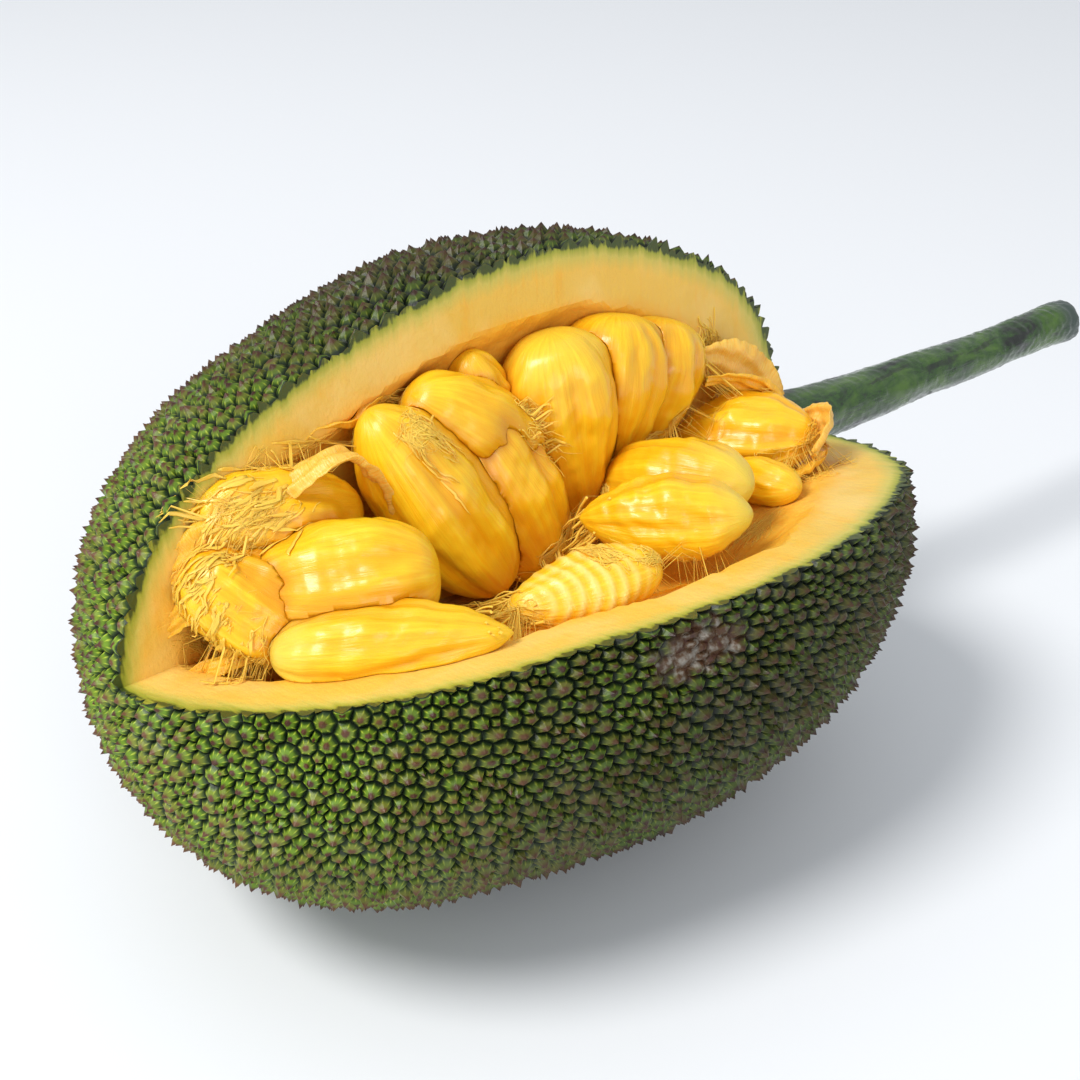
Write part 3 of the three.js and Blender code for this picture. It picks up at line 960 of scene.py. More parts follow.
@dataclass
class TubercleSkin:
    """The whole skin as evenly packed tubercles, before the wedge is cut out."""

    count: int = 8000
    height: float = 4.5
    spread: float = 0.4
    shoulder: float = 0.46
    shoulder_width: float = 0.62
    lean: float = 0.8
    weld: float = 0.05
    scar_loss: float = 0.55
    scatter: float = 0.45
    rounds: int = 7
    seed: int = 11

    def triangles(self, balls: np.ndarray) -> np.ndarray:
        """Join neighbouring points of the unit ball into triangles that face outwards.

        The ball is seen from its first point, which turns the task into a flat one.

        Args:
            balls: Points of the unit ball, of shape (n, 3).

        Returns:
            The triangles, as numbers of those points.
        """
        pole = balls[0]
        side = unit(np.cross(pole, (0.0, 0.6, 0.8)))
        over = np.cross(pole, side)
        rest = balls[1:]
        flat = np.stack([rest @ side, rest @ over], axis=1) / (1.0 - rest @ pole)[:, None]
        _, _, faces, origins, _, _ = delaunay_2d_cdt([Vector(place) for place in flat], [], [], 0, 1e-9)
        numbers = np.array([origin[0] + 1 for origin in origins])
        corners = numbers[np.array(faces)]
        edges = np.concatenate([corners[:, (0, 1)], corners[:, (1, 2)], corners[:, (2, 0)]])
        keys = np.sort(edges, axis=1)
        _, first, count = np.unique(keys, axis=0, return_index=True, return_counts=True)
        rim = edges[first[count == 1]]
        fan = np.column_stack([rim[:, 1], rim[:, 0], np.zeros(len(rim), dtype=int)])
        corners = np.concatenate([corners, fan])
        a, b, c = (balls[corners[:, place]] for place in range(3))
        inwards = np.einsum("ij,ij->i", np.cross(b - a, c - a), a + b + c) < 0.0
        corners[inwards] = corners[inwards][:, ::-1]
        return corners

    def layout(self) -> tuple[np.ndarray, np.ndarray]:
        """Scatter the tubercles on the skin and even them out like cells that grow together.

        Returns:
            The points of the unit ball under the tubercles, and the triangles that join them.
        """
        random = np.random.default_rng(self.seed)
        number = np.arange(self.count)
        station = (2.0 * number + 1.0) / self.count - 1.0
        ring = np.sqrt(1.0 - station**2)
        turn = number * GOLDEN_ANGLE
        balls = np.stack([station, ring * np.cos(turn), ring * np.sin(turn)], axis=1)
        spacing = math.sqrt(4.0 * math.pi / self.count)
        balls += random.uniform(-1.0, 1.0, balls.shape) * self.scatter * spacing
        balls /= np.linalg.norm(balls, axis=1)[:, None]
        for _ in range(self.rounds):
            corners = self.triangles(balls)
            feet = FORM.skin(balls)
            middles = feet[corners].mean(axis=1)
            sums = np.zeros_like(feet)
            shares = np.zeros(len(feet))
            for place in range(3):
                np.add.at(sums, corners[:, place], middles)
                np.add.at(shares, corners[:, place], 1.0)
            balls = FORM.ball(sums / shares[:, None])
            balls /= np.linalg.norm(balls, axis=1)[:, None]
        return balls, self.triangles(balls)

    def raise_cells(
        self,
        grower: Grower,
        feeds: dict[Union[str, int], object],
        height: bpy.types.NodeSocket,
        width: object,
        rise: object,
    ) -> tuple[bpy.types.NodeSocket, bpy.types.NodeSocket]:
        """Extrude every cell on its own, narrow its top and note how high the top is.

        Args:
            grower: The tree that the nodes go into.
            feeds: The mesh, and which of its cells to raise.
            height: How far they rise.
            width: How wide the top stays, as a share.
            rise: The number to note on the top, from 0 at the foot to 1 at the tip.

        Returns:
            The geometry, and which of its faces are the new tops.
        """
        feeds = {**feeds, "Offset Scale": height, "Individual": True}
        extrude = grower.add("GeometryNodeExtrudeMesh", feeds, mode="FACES")
        top = extrude.outputs["Top"]
        narrow = grower.add(
            "GeometryNodeScaleElements",
            {"Geometry": extrude.outputs["Mesh"], "Selection": top, "Scale": width},
        )
        note = grower.add(
            "GeometryNodeStoreNamedAttribute",
            {"Geometry": narrow.outputs["Geometry"], "Selection": top, "Name": "rise", "Value": rise},
            data_type="FLOAT",
            domain="POINT",
        )
        return note.outputs["Geometry"], top

    def grower(self) -> Grower:
        """Build the node tree that raises one pointed cell over each point of a mesh.

        Returns:
            The finished tree.
        """
        sizes = dict.fromkeys(("Height", "Shoulder", "Shoulder Width", "Lean", "Weld"), "Float")
        grower = Grower("tubercles", {**sizes, "Seed": "Int", "Skin": "Material"})
        given = grower.given
        cells = grower.add("GeometryNodeDualMesh", {"Mesh": given["Geometry"]})
        full = grower.times(given["Height"], grower.stored("stature"))
        shoulder = given["Shoulder"]
        rest = grower.add("ShaderNodeMath", {0: 1.0, 1: shoulder}, operation="SUBTRACT").outputs[0]
        low, high = grower.times(full, shoulder), grower.times(full, rest)
        width = given["Shoulder Width"]
        body, top = self.raise_cells(grower, {"Mesh": cells.outputs[0]}, low, width, shoulder)
        body, top = self.raise_cells(grower, {"Mesh": body, "Selection": top}, high, 0.0, 1.0)
        close = grower.add(
            "GeometryNodeMergeByDistance", {"Geometry": body, "Selection": top, "Distance": given["Weld"]}
        )
        away = grower.add(
            "FunctionNodeRandomValue",
            {
                0: (-1.0, -1.0, -1.0),
                1: (1.0, 1.0, 1.0),
                "Seed": given["Seed"],
                "ID": grower.stored("cell", "INT"),
            },
            data_type="FLOAT_VECTOR",
        )
        offset = {0: away.outputs[0], "Scale": given["Lean"]}
        reach = grower.add("ShaderNodeVectorMath", offset, operation="SCALE")
        higher = {"A": grower.stored("rise"), "B": TIP}
        tips = grower.add("FunctionNodeCompare", higher, operation="GREATER_THAN")
        bend = grower.add(
            "GeometryNodeSetPosition",
            {
                "Geometry": close.outputs["Geometry"],
                "Selection": tips.outputs["Result"],
                "Offset": reach.outputs[0],
            },
        )
        grower.finish(bend.outputs[0], "Skin")
        return grower

    def facets(self, mesh: bpy.types.Mesh) -> None:
        """Give every flank of a tubercle its own way across and way up, so that ridges can be drawn.

        Args:
            mesh: The mesh of the whole skin.
        """
        rise = np.empty(len(mesh.vertices), dtype=np.float32)
        mesh.attributes["rise"].data.foreach_get("value", rise)
        totals = np.empty(len(mesh.polygons), dtype=np.int32)
        starts = np.empty(len(mesh.polygons), dtype=np.int32)
        mesh.polygons.foreach_get("loop_total", totals)
        mesh.polygons.foreach_get("loop_start", starts)
        corners = np.empty(len(mesh.loops), dtype=np.int32)
        mesh.loops.foreach_get("vertex_index", corners)
        uv = np.full((len(mesh.loops), 2), 0.5, dtype=np.float32)
        uv[:, 1] = rise[corners]
        quads = starts[totals == 4][:, None] + np.arange(4)
        levels = rise[corners[quads]]
        low = levels <= levels.min(axis=1)[:, None] + 1e-5
        pairs = low & np.roll(low, -1, axis=1) & (low.sum(axis=1) == 2)[:, None]
        for first in range(4):
            rows = quads[pairs[:, first]]
            for step, across in enumerate((0.0, 1.0, 1.0, 0.0)):
                uv[rows[:, (first + step) % 4], 0] = across
        points = starts[totals == 3][:, None] + np.arange(3)
        levels = rise[corners[points]]
        low = levels < TIP
        pairs = low & np.roll(low, -1, axis=1)
        for first in range(3):
            rows = points[pairs[:, first]]
            for step, across in enumerate((0.0, 1.0, 0.5)):
                uv[rows[:, (first + step) % 3], 0] = across
        layer = mesh.uv_layers.new(name="facet")
        layer.data.foreach_set("uv", uv.ravel())

    def build(self, material: bpy.types.Material) -> bpy.types.Object:
        """Make the closed skin.

        Args:
            material: What the tubercles wear.

        Returns:
            The closed skin, with the attributes rise, tone and stature and the UV map facet.
        """
        balls, corners = self.layout()
        random = np.random.default_rng(self.seed + 1)
        feet = FORM.skin(balls)
        made = MeshWork.mesh_object("husk_skin", feet, corners)
        tone = random.uniform(0.0, 1.0, len(feet))
        stature = 1.0 - self.spread * random.uniform(0.0, 1.0, len(feet)) ** 1.5
        stature *= 1.0 - self.scar_loss * scarred(feet)
        MeshWork.store(made.data, "tone", tone)
        MeshWork.store(made.data, "stature", stature)
        MeshWork.store(made.data, "rise", np.zeros(len(feet)))
        cell = made.data.attributes.new("cell", "INT", "POINT")
        cell.data.foreach_set("value", np.arange(len(feet), dtype=np.int32))
        values = {
            "Height": self.height * MM,
            "Shoulder": self.shoulder,
            "Shoulder Width": self.shoulder_width,
            "Lean": self.lean * MM,
            "Weld": self.weld * MM,
            "Seed": self.seed,
            "Skin": material,
        }
        self.grower().run(made, values)
        self.facets(made.data)
        return made


@dataclass
class Husk:
    """Skin, rind and flesh in one piece, with the wedge and the hollow cut into it."""

    rind: float = 21.0
    stem_rind: float = 30.0
    hollow_depth: float = 15.0
    hollow_slope: float = 13.0
    shallow_from: float = -135.0
    shallow_to: float = -100.0
    closing_from: float = 30.0
    closing_to: float = 90.0
    grain: float = 2.3
    reach_along: float = 172.0
    reach_out: float = 142.0
    beyond: float = 150.0
    gap: float = 0.0
    block_half: float = 400.0
    block_depth: float = 100.0
    depth_scale: float = 30.0
    hollow_edge: tuple[float, float] = (-7.0, 9.0)
    skin: TubercleSkin = field(default_factory=TubercleSkin)

    def rind_at(self, points: np.ndarray) -> np.ndarray:
        """Give how thick the rind is over each point: more towards the stalk."""
        station = np.clip(points[:, 0] / FORM.half_length, 0.0, 1.0)
        return self.rind + self.stem_rind * station**3

    def openness(self, points: np.ndarray) -> np.ndarray:
        """Tell how much of its full depth the hollow has over each point: less towards either end.

        Args:
            points: Points about the fruit's axis, of shape (n, 3).

        Returns:
            A share from 0 to 1 for each point.
        """
        left = smoothstep(self.shallow_from, self.shallow_to, points[:, 0])
        right = 1.0 - smoothstep(self.closing_from, self.closing_to, points[:, 0])
        return (0.55 + 0.45 * left) * (0.35 + 0.65 * right)

    def open_side(self, cut: CutPlane, other: CutPlane, along: np.ndarray, out: np.ndarray) -> np.ndarray:
        """Lay a grid over one face of the wedge and press the hollow into it.

        Args:
            cut: The face to lay the grid on.
            other: The wedge's other face.
            along: Places along the line where the two faces meet.
            out: Distances from that line.

        Returns:
            The grid's points, of shape (along, out, 3).
        """
        meet = np.cross(FRONT_CUT.normal, BACK_CUT.normal)
        meet = meet / np.linalg.norm(meet) * math.copysign(1.0, meet[0])
        normals = np.array([FRONT_CUT.normal, BACK_CUT.normal, meet])
        offsets = np.array([FRONT_CUT.offset + self.gap, BACK_CUT.offset + self.gap, 0.0])
        corner = np.linalg.solve(normals, offsets)
        away = np.cross(meet, cut.normal)
        away *= math.copysign(1.0, away @ other.normal)
        grid = corner + along[:, None, None] * meet + out[None, :, None] * away
        flat = grid.reshape(-1, 3)
        inside = FORM.depth(flat) - self.rind_at(flat)
        inside += 1.6 * Rumple(38.0, 5).at(flat) + 0.7 * Rumple(13.0, 6).at(flat)
        press = self.hollow_depth * (1.0 - np.exp(-np.maximum(0.0, inside) / self.hollow_slope))
        press *= self.openness(flat)
        near = np.exp(-((np.tile(out, len(along)) / 18.0) ** 2))
        inward = -cut.normal - other.normal * near[:, None]
        inward /= np.linalg.norm(inward, axis=1)[:, None]
        relief = 0.25 * Rumple(30.0, 7).at(flat)
        flat = flat + inward * (press + relief * (1.0 - near))[:, None]
        return flat.reshape(grid.shape)

    def wedge(self, material: bpy.types.Material) -> bpy.types.Object:
        """Make the closed body that the knife and the missing bulbs leave empty.

        Args:
            material: The material of the cut faces.

        Returns:
            The closed body.
        """
        along = np.arange(-self.reach_along, self.reach_along + 1e-6, self.grain)
        out = np.append(np.arange(0.0, self.reach_out, self.grain), self.reach_out + self.beyond)
        front = self.open_side(FRONT_CUT, BACK_CUT, along, out)
        back = self.open_side(BACK_CUT, FRONT_CUT, along, out)
        front[:, 0] = (front[:, 0] + back[:, 0]) / 2.0
        sheet = np.concatenate([front[:, ::-1], back[:, 1:]], axis=1)
        rows, columns, _ = sheet.shape
        faces: list[tuple[int, ...]] = []
        for row in range(rows - 1):
            for column in range(columns - 1):
                a = row * columns + column
                faces.append((a, a + 1, a + columns + 1, a + columns))
            start, after = row * columns, (row + 1) * columns
            faces.append((start, after, after + columns - 1, start + columns - 1))
        faces.append(tuple(reversed(range(columns))))
        faces.append(tuple((rows - 1) * columns + column for column in range(columns)))
        made = MeshWork.mesh_object("wedge", sheet.reshape(-1, 3), faces)
        MeshWork.face_out(made.data, in_triangles=True)
        made.data.materials.append(material)
        return made

    def floor_block(self) -> bpy.types.Object:
        """Make the block that presses the lowest tubercles flat.

        Returns:
            The block, with its top at the floor.
        """
        bottom = square(self.block_half, -AXIS_HEIGHT - self.block_depth)
        corners = bottom + square(self.block_half, -AXIS_HEIGHT)
        faces = [(3, 2, 1, 0), (4, 5, 6, 7), (0, 1, 5, 4), (1, 2, 6, 5), (2, 3, 7, 6), (3, 0, 4, 7)]
        return MeshWork.mesh_object("block", np.array(corners), faces)

    def build(self, skin: bpy.types.Material, flesh: bpy.types.Material) -> bpy.types.Object:
        """Make the husk.

        Args:
            skin: The material of the tubercles.
            flesh: The material of the cut faces and of the hollow.

        Returns:
            The closed husk, with the attributes that its materials read.
        """
        made = self.skin.build(skin)
        MeshWork.combine(made, self.wedge(flesh), "DIFFERENCE")
        MeshWork.combine(made, self.floor_block(), "DIFFERENCE")
        mesh = made.data
        points = MeshWork.points_of(mesh)
        depth = FORM.depth(points)
        MeshWork.store(mesh, "depth", np.clip(depth / self.depth_scale, 0.0, 1.0))
        inside = depth - self.rind_at(points)
        share = np.minimum(1.0, 0.35 + self.openness(points))
        MeshWork.store(mesh, "hollow", smoothstep(*self.hollow_edge, inside) * share)
        MeshWork.store(mesh, "scar", scarred(points))
        return made


@dataclass(frozen=True)
class BulbSpec:
    """One golden bulb: where it lies, how it is shaped and what marks it bears."""

    name: str
    inner: Triple
    outer: Triple
    width: float
    depth: float
    closing: tuple[float, float]
    face: Face
    ribs: int = 5
    rib_height: float = 0.055
    creases: int = 4
    crease_depth: float = 0.13
    crease_width: float = 0.17
    bands: int = 0
    band_depth: float = 0.05
    green: float = 0.0
    seed: int = 1

    @property
    def middle(self) -> np.ndarray:
        """The point halfway along the bulb."""
        return (np.array(self.inner) + np.array(self.outer)) / 2.0


BULBS = (
    BulbSpec("front_lower", (4, -40, 33), (42, -86, 40), 31, 28, (0.75, 0.62), Face.UP, green=0.6, seed=3),
    BulbSpec("front_upper", (40, -10, 24), (55, -74, 41), 38, 32, (0.8, 0.6), Face.UP, green=0.6, seed=4),
    BulbSpec("by_the_stalk", (90, -5, 22), (122, -50, 29), 37, 31, (0.7, 0.58), Face.UP, creases=6, seed=5),
    BulbSpec("front_long", (-64, -82, 37), (-121, -33, 29), 29, 26, (0.7, 0.45), Face.UP, green=0.8, seed=6),
    BulbSpec("left_big", (-65, -48, 43), (-118, -8, 37), 45, 39, (0.42, 0.6), Face.UP, seed=7),
    BulbSpec("middle_left", (-18, -25, 7), (-57, -2, 80), 41, 39, (0.45, 0.5), Face.OUT, seed=8),
    BulbSpec("middle_right", (6, -22, 2), (-20, -1, 70), 46, 39, (0.45, 0.45), Face.OUT, seed=9),
    BulbSpec("back_left", (31, -14, 10), (27, 1, 83), 46, 41, (0.75, 0.38), Face.OUT, green=0.3, seed=10),
    BulbSpec(
        "back_middle", (46, -9, 15), (62, 2, 80), 48, 38, (0.75, 0.36), Face.OUT, ribs=7, creases=6, seed=11
    ),
    BulbSpec(
        "back_right", (68, -4, 18), (88, 3, 71), 46, 36, (0.7, 0.36), Face.OUT, ribs=9, creases=8, seed=12
    ),
    BulbSpec("middle_top", (12, -8, 34), (-36, 2, 78), 41, 35, (0.45, 0.45), Face.OUT, seed=13),
    BulbSpec("small_top", (7, 5, 38), (-5, 9, 82), 24, 22, (0.7, 0.5), Face.OUT, seed=14),
    BulbSpec("left_back", (-62, -2, 44), (-122, 6, 58), 38, 34, (0.5, 0.42), Face.OUT, ribs=7, seed=15),
    BulbSpec(
        "left_end", (-104, -34, 26), (-126, 2, 50), 38, 30, (0.42, 0.4), Face.UP, ribs=9, creases=6, seed=16
    ),
    BulbSpec(
        "striped", (-46, -60, 26), (3, -80, 33), 25, 22, (0.55, 0.45), Face.UP, creases=1, bands=11, seed=17
    ),
    BulbSpec("small_front", (85, -36, 19), (88, -70, 26), 20, 18, (0.6, 0.5), Face.UP, seed=18),
)


@dataclass
class Bulbs:
    """The golden bulbs that fill the wedge, each pressed against its neighbours."""

    rings: int = 76
    sides: int = 72
    gap: float = 0.25
    neighbours: float = 75.0
    # How far and how strongly the painted shade between bulbs reaches
    contact_shade_reach: float = 9.0
    contact_shade_fade: float = 2.6
    contact_shade_share: float = 0.7
    specs: tuple[BulbSpec, ...] = BULBS

    def relief(
        self, spec: BulbSpec, steps: np.ndarray, turns: np.ndarray
    ) -> tuple[np.ndarray, np.ndarray, np.ndarray]:
        """Raise the ribs and bands of a bulb and sink its creases.

        Args:
            spec: Its marks.
            steps: Places along it, from 0 to 1.
            turns: Directions around it, in radians.

        Returns:
            The relief as a share of its width, how deep each point lies in a crease, and how high on a band.
        """
        random = np.random.default_rng(spec.seed)
        relief = np.zeros((len(steps), self.sides))
        for order in range(1, spec.ribs + 1):
            strength = random.uniform(0.3, 1.0) / math.sqrt(order)
            phase = random.uniform(0.0, 2.0 * math.pi)
            twist = random.uniform(-0.8, 0.8)
            relief += strength * np.cos(order * turns[None, :] + phase + twist * steps[:, None])
        relief *= spec.rib_height * (np.sin(math.pi * steps) ** 0.6)[:, None]
        fold = np.zeros_like(relief)
        for number in range(spec.creases):
            start_turn = math.pi * (0.12 + 0.76 * (number + random.uniform(0.2, 0.8)) / spec.creases)
            end_turn = start_turn + random.uniform(-0.45, 0.45)
            line = start_turn + (end_turn - start_turn) * steps[:, None]
            line = line + 0.08 * np.sin(7.0 * steps[:, None] + number)
            reach = smoothstep(0.0, 0.35, steps if random.uniform() < 0.5 else 1.0 - steps)[:, None]
            away = np.angle(np.exp(1j * (turns[None, :] - line)))
            fold += reach * random.uniform(0.5, 1.0) * np.exp(-((away / spec.crease_width) ** 2))
        fold = np.minimum(fold, 1.0) * np.minimum(1.0, 4.0 * np.sin(math.pi * steps))[:, None]
        relief -= spec.crease_depth * fold
        sway = 0.35 * np.sin(turns[None, :] * 2.0 + 0.8)
        band = 0.5 + 0.5 * np.cos(2.0 * math.pi * spec.bands * steps[:, None] + sway * spec.bands)
        band = band**2 * min(1, spec.bands) * np.sin(math.pi * steps)[:, None]
        relief += spec.band_depth * band
        return relief, fold, band

    def form(self, spec: BulbSpec, grow: float) -> bpy.types.Object:
        """Make one closed bulb.

        Args:
            spec: Its place, shape and marks.
            grow: By how much it is swollen, to make room for its neighbours.

        Returns:
            The new object.
        """
        start = np.array(spec.inner, dtype=float)
        travel = np.array(spec.outer, dtype=float) - start
        length = float(np.linalg.norm(travel))
        along = travel / length
        sideways = unit(np.cross(spec.face.value, along))
        outward = np.cross(along, sideways)
        steps = (1.0 - np.cos(np.arange(1, self.rings) * math.pi / self.rings)) / 2.0
        inner_closing, outer_closing = spec.closing
        widest = inner_closing / (inner_closing + outer_closing)
        peak = widest**inner_closing * (1.0 - widest) ** outer_closing
        full = steps**inner_closing * (1.0 - steps) ** outer_closing / peak
        # The way around starts on the side that doesn't show
        turns = np.arange(self.sides) * 2.0 * math.pi / self.sides - math.pi / 2.0
        relief, fold, band = self.relief(spec, steps, turns)
        widths = full[:, None] * (1.0 + relief)
        middles = start + (length + 2.0 * grow) * steps[:, None] * along - grow * along
        rings = (
            middles[:, None, :]
            + (widths * spec.width / 2.0 + grow)[:, :, None] * np.cos(turns)[None, :, None] * sideways
            + (widths * spec.depth / 2.0 + grow)[:, :, None] * np.sin(turns)[None, :, None] * outward
        )
        flat = rings.reshape(-1, 3)
        rumple = 0.8 * Rumple(24.0, spec.seed).at(flat) + 0.3 * Rumple(8.0, spec.seed + 50).at(flat)
        centres = np.repeat(middles, self.sides, axis=0)
        away = flat - centres
        away /= np.maximum(1e-6, np.linalg.norm(away, axis=1))[:, None]
        flat = flat + away * (rumple * np.repeat(np.sin(math.pi * steps) ** 0.5, self.sides))[:, None]
        ends = (start - grow * along, start + (length + grow) * along)
        made = MeshWork.loft(f"{spec.name}_bulb", flat.reshape(rings.shape), ends)
        share = np.concatenate([np.repeat(steps, self.sides), [0.0, 1.0]])
        MeshWork.store(made.data, "green", spec.green * smoothstep(0.7, 1.0, share))
        # The folds become painted shade in the bulb's material
        MeshWork.store(made.data, "fold", np.concatenate([0.7 * fold.ravel(), [0.0, 0.0]]))
        MeshWork.store(made.data, "band", np.concatenate([band.ravel(), [0.0, 0.0]]))
        return made

    def build(self, material: bpy.types.Material, room: bpy.types.Object) -> list[bpy.types.Object]:
        """Make all bulbs, each cut clear of those before it and kept in its room.

        Args:
            material: What they wear.
            room: A closed body of the space that they may fill.

        Returns:
            The bulbs, in the order of their specs.
        """
        made: list[bpy.types.Object] = []
        for spec in self.specs:
            piece = self.form(spec, 0.0)
            MeshWork.combine(piece, room, "INTERSECT", keep=True)
            for earlier in self.specs[: len(made)]:
                if np.linalg.norm(earlier.middle - spec.middle) < self.neighbours:
                    MeshWork.combine(piece, self.form(earlier, self.gap), "DIFFERENCE")
            piece.data.materials.clear()
            piece.data.materials.append(material)
            MeshWork.smooth(piece.data)
            made.append(piece)
        # Note where bulbs touch, for the painted shade between them
        trees = [MeshWork.tree_over([piece]) for piece in made]
        for piece in made:
            self.press(piece, [tree for other, tree in zip(made, trees) if other is not piece])
        return made

    def press(self, piece: bpy.types.Object, others: Sequence[BVHTree]) -> None:
        """Note how close every point of a bulb lies to another bulb, for the painted shade where they touch.

        Args:
            piece: The bulb.
            others: A search tree over each of the other bulbs.
        """
        near = self.contact_shade_reach * MM
        closeness = np.zeros(len(piece.data.vertices))
        for tree in others:
            for number, vertex in enumerate(piece.data.vertices):
                _, _, _, distance = tree.find_nearest(vertex.co, near)
                if distance is not None:
                    here = math.exp(-distance / (self.contact_shade_fade * MM))
                    closeness[number] = max(closeness[number], here)
        MeshWork.store(piece.data, "press", closeness * self.contact_shade_share)


@dataclass
class Stem:
    """A round woody piece along a curve, used for the stalk and for the core."""

    name: str
    points: tuple[Triple, ...]
    radii: tuple[float, ...]
    rings: int
    sides: int
    roughness: float
    grooves: float
    seed: int

    def curve(self, places: np.ndarray) -> np.ndarray:
        """Follow the route smoothly: places run from 0 to 1.

        Args:
            places: Places along the route.

        Returns:
            The point at each place.
        """
        route = np.array(self.points, dtype=float)
        extended = np.vstack([2 * route[0] - route[1], route, 2 * route[-1] - route[-2]])
        where = np.clip(places, 0.0, 1.0) * (len(route) - 1)
        i = np.minimum(where.astype(int), len(route) - 2)
        t = (where - i)[:, None]
        a, b, c, d = (extended[i + shift] for shift in range(4))
        straight = 2 * b + (c - a) * t
        bent = (2 * a - 5 * b + 4 * c - d) * t**2
        return 0.5 * (straight + bent + (3 * b - a - 3 * c + d) * t**3)

    def form(self, grow: float = 0.0) -> bpy.types.Object:
        """Make the closed piece, swollen by grow.

        Args:
            grow: How much thicker it gets.

        Returns:
            The piece, with a UV map and the attribute cork.
        """
        places = np.linspace(0.0, 1.0, self.rings)
        middles = self.curve(places)
        tangents = self.curve(places + 0.004) - self.curve(places - 0.004)
        tangents /= np.linalg.norm(tangents, axis=1)[:, None]
        side = np.cross([0.0, 0.0, 1.0], tangents)
        side /= np.linalg.norm(side, axis=1)[:, None]
        up = np.cross(tangents, side)
        radius = np.interp(places, np.linspace(0.0, 1.0, len(self.radii)), self.radii) + grow
        turns = np.arange(self.sides) * 2.0 * math.pi / self.sides
        spokes = np.cos(turns)[None, :, None] * side[:, None] + np.sin(turns)[None, :, None] * up[:, None]
        rings = middles[:, None] + radius[:, None, None] * spokes
        flat = rings.reshape(-1, 3)
        coarse = Rumple(17.0, self.seed).at(flat, (2.5, 1.0, 1.0))
        bumps = self.roughness * (coarse + 0.5 * Rumple(5.0, self.seed + 1).at(flat))
        grooves = self.grooves * np.tile(np.cos(9.0 * turns) + 0.6 * np.cos(14.0 * turns + 1.0), self.rings)
        flat = flat + spokes.reshape(-1, 3) * (bumps + grooves)[:, None]
        made = MeshWork.loft(f"{self.name}_fibre", flat.reshape(rings.shape), (middles[0], middles[-1]))
        along = np.concatenate([np.repeat(places, self.sides), [0.0, 1.0]])
        MeshWork.store(made.data, "cork", smoothstep(0.86, 0.98, along))
        return made


STALK = Stem(
    "stalk",
    ((143, -2, 7), (190, -7, 3.5), (235, -12, 4), (285, -17, 4), (322, -21, 5), (346, -23.5, 5.5)),
    (12.4, 12.0, 10.7, 9.7, 9.8, 10.4),
    rings=150,
    sides=64,
    roughness=0.42,
    grooves=0.07,
    seed=31,
)
CORE = Stem(
    "core",
    (
        (142.4, -2, 7),
        (109, -2, 11),
        (74, -3, 7),
        (50, -6, 3),
        (24, -14, -1),
        (0, -18, -4),
        (-32, -15, -4),
        (-80, -8, 0),
        (-122, -4, 2),
    ),
    (10.6, 7.6, 6.6, 6.6, 6.6, 6.6, 6.6, 6.1, 4.6),
    rings=160,
    sides=48,
    roughness=0.5,
    grooves=0.35,
    seed=41,
)


@dataclass(frozen=True)
class RibbonSpec:
    """One flat ribbon of rag along a path."""

    name: str
    path: tuple[Triple, ...]
    breadth: float
    thickness: float
    lean: Triple
    seed: int


RIBBONS = (
    RibbonSpec(
        "strap",
        ((-97, 1, 58), (-85, -8, 71), (-72, -11, 73), (-63, -13, 62), (-58, -14, 46)),
        14, 1.6, Face.OUT.value, 51,
    ),
    RibbonSpec(
        "curtain",
        ((100, -6, 52), (115, -9, 48), (129, -12, 38), (138, -16, 25)),
        20, 1.4, (0.5, 0, 1), 52,
    ),
    RibbonSpec(
        "collar",
        ((108, -60, 30), (119, -56, 35), (127, -47, 34), (131, -34, 27)),
        13, 1.4, (0.2, -0.1, 1), 53,
    ),
)


SHREDS = (
    RibbonSpec(
        "left_low",
        ((-112, -34, 36), (-122, -24, 26), (-130, -12, 16), (-134, 0, 8)),
        9, 1.0, (0.3, -0.8, 0.5), 71,
    ),
    RibbonSpec(
        "left_mid",
        ((-108, -22, 48), (-121, -14, 44), (-131, -4, 36), (-136, 4, 26)),
        10, 1.0, (0.1, -0.6, -0.6), 72,
    ),
    RibbonSpec(
        "left_high",
        ((-104, -8, 58), (-116, -4, 58), (-126, 1, 52), (-132, 6, 44)),
        14, 1.0, (0.1, -0.6, -0.6), 73,
    ),
    RibbonSpec(
        "left_top",
        ((-88, 4, 66), (-101, 4, 69), (-114, 6, 66), (-124, 8, 60)),
        10, 1.0, (0, -1, 0.3), 74,
    ),
    RibbonSpec(
        "wall_fold",
        ((-44, 9, 77), (-58, 8, 74), (-72, 10, 73), (-86, 9, 70)),
        9, 1.1, (0, -1, 0.3), 75,
    ),
    RibbonSpec(
        "stalk_wisp",
        ((96, -14, 48), (108, -18, 46), (121, -22, 40), (131, -26, 30)),
        9, 1.0, (0, -0.5, 1), 76,
    ),
    RibbonSpec(
        "stalk_low",
        ((92, -52, 18), (106, -56, 20), (119, -54, 22), (131, -46, 20)),
        12, 1.0, (0, -0.8, 0.6), 77,
    ),
    RibbonSpec(
        "front_low",
        ((-46, -66, 20), (-30, -76, 20), (-8, -84, 22), (14, -86, 22)),
        9, 1.0, (0, 0.2, 1), 78,
    ),
)


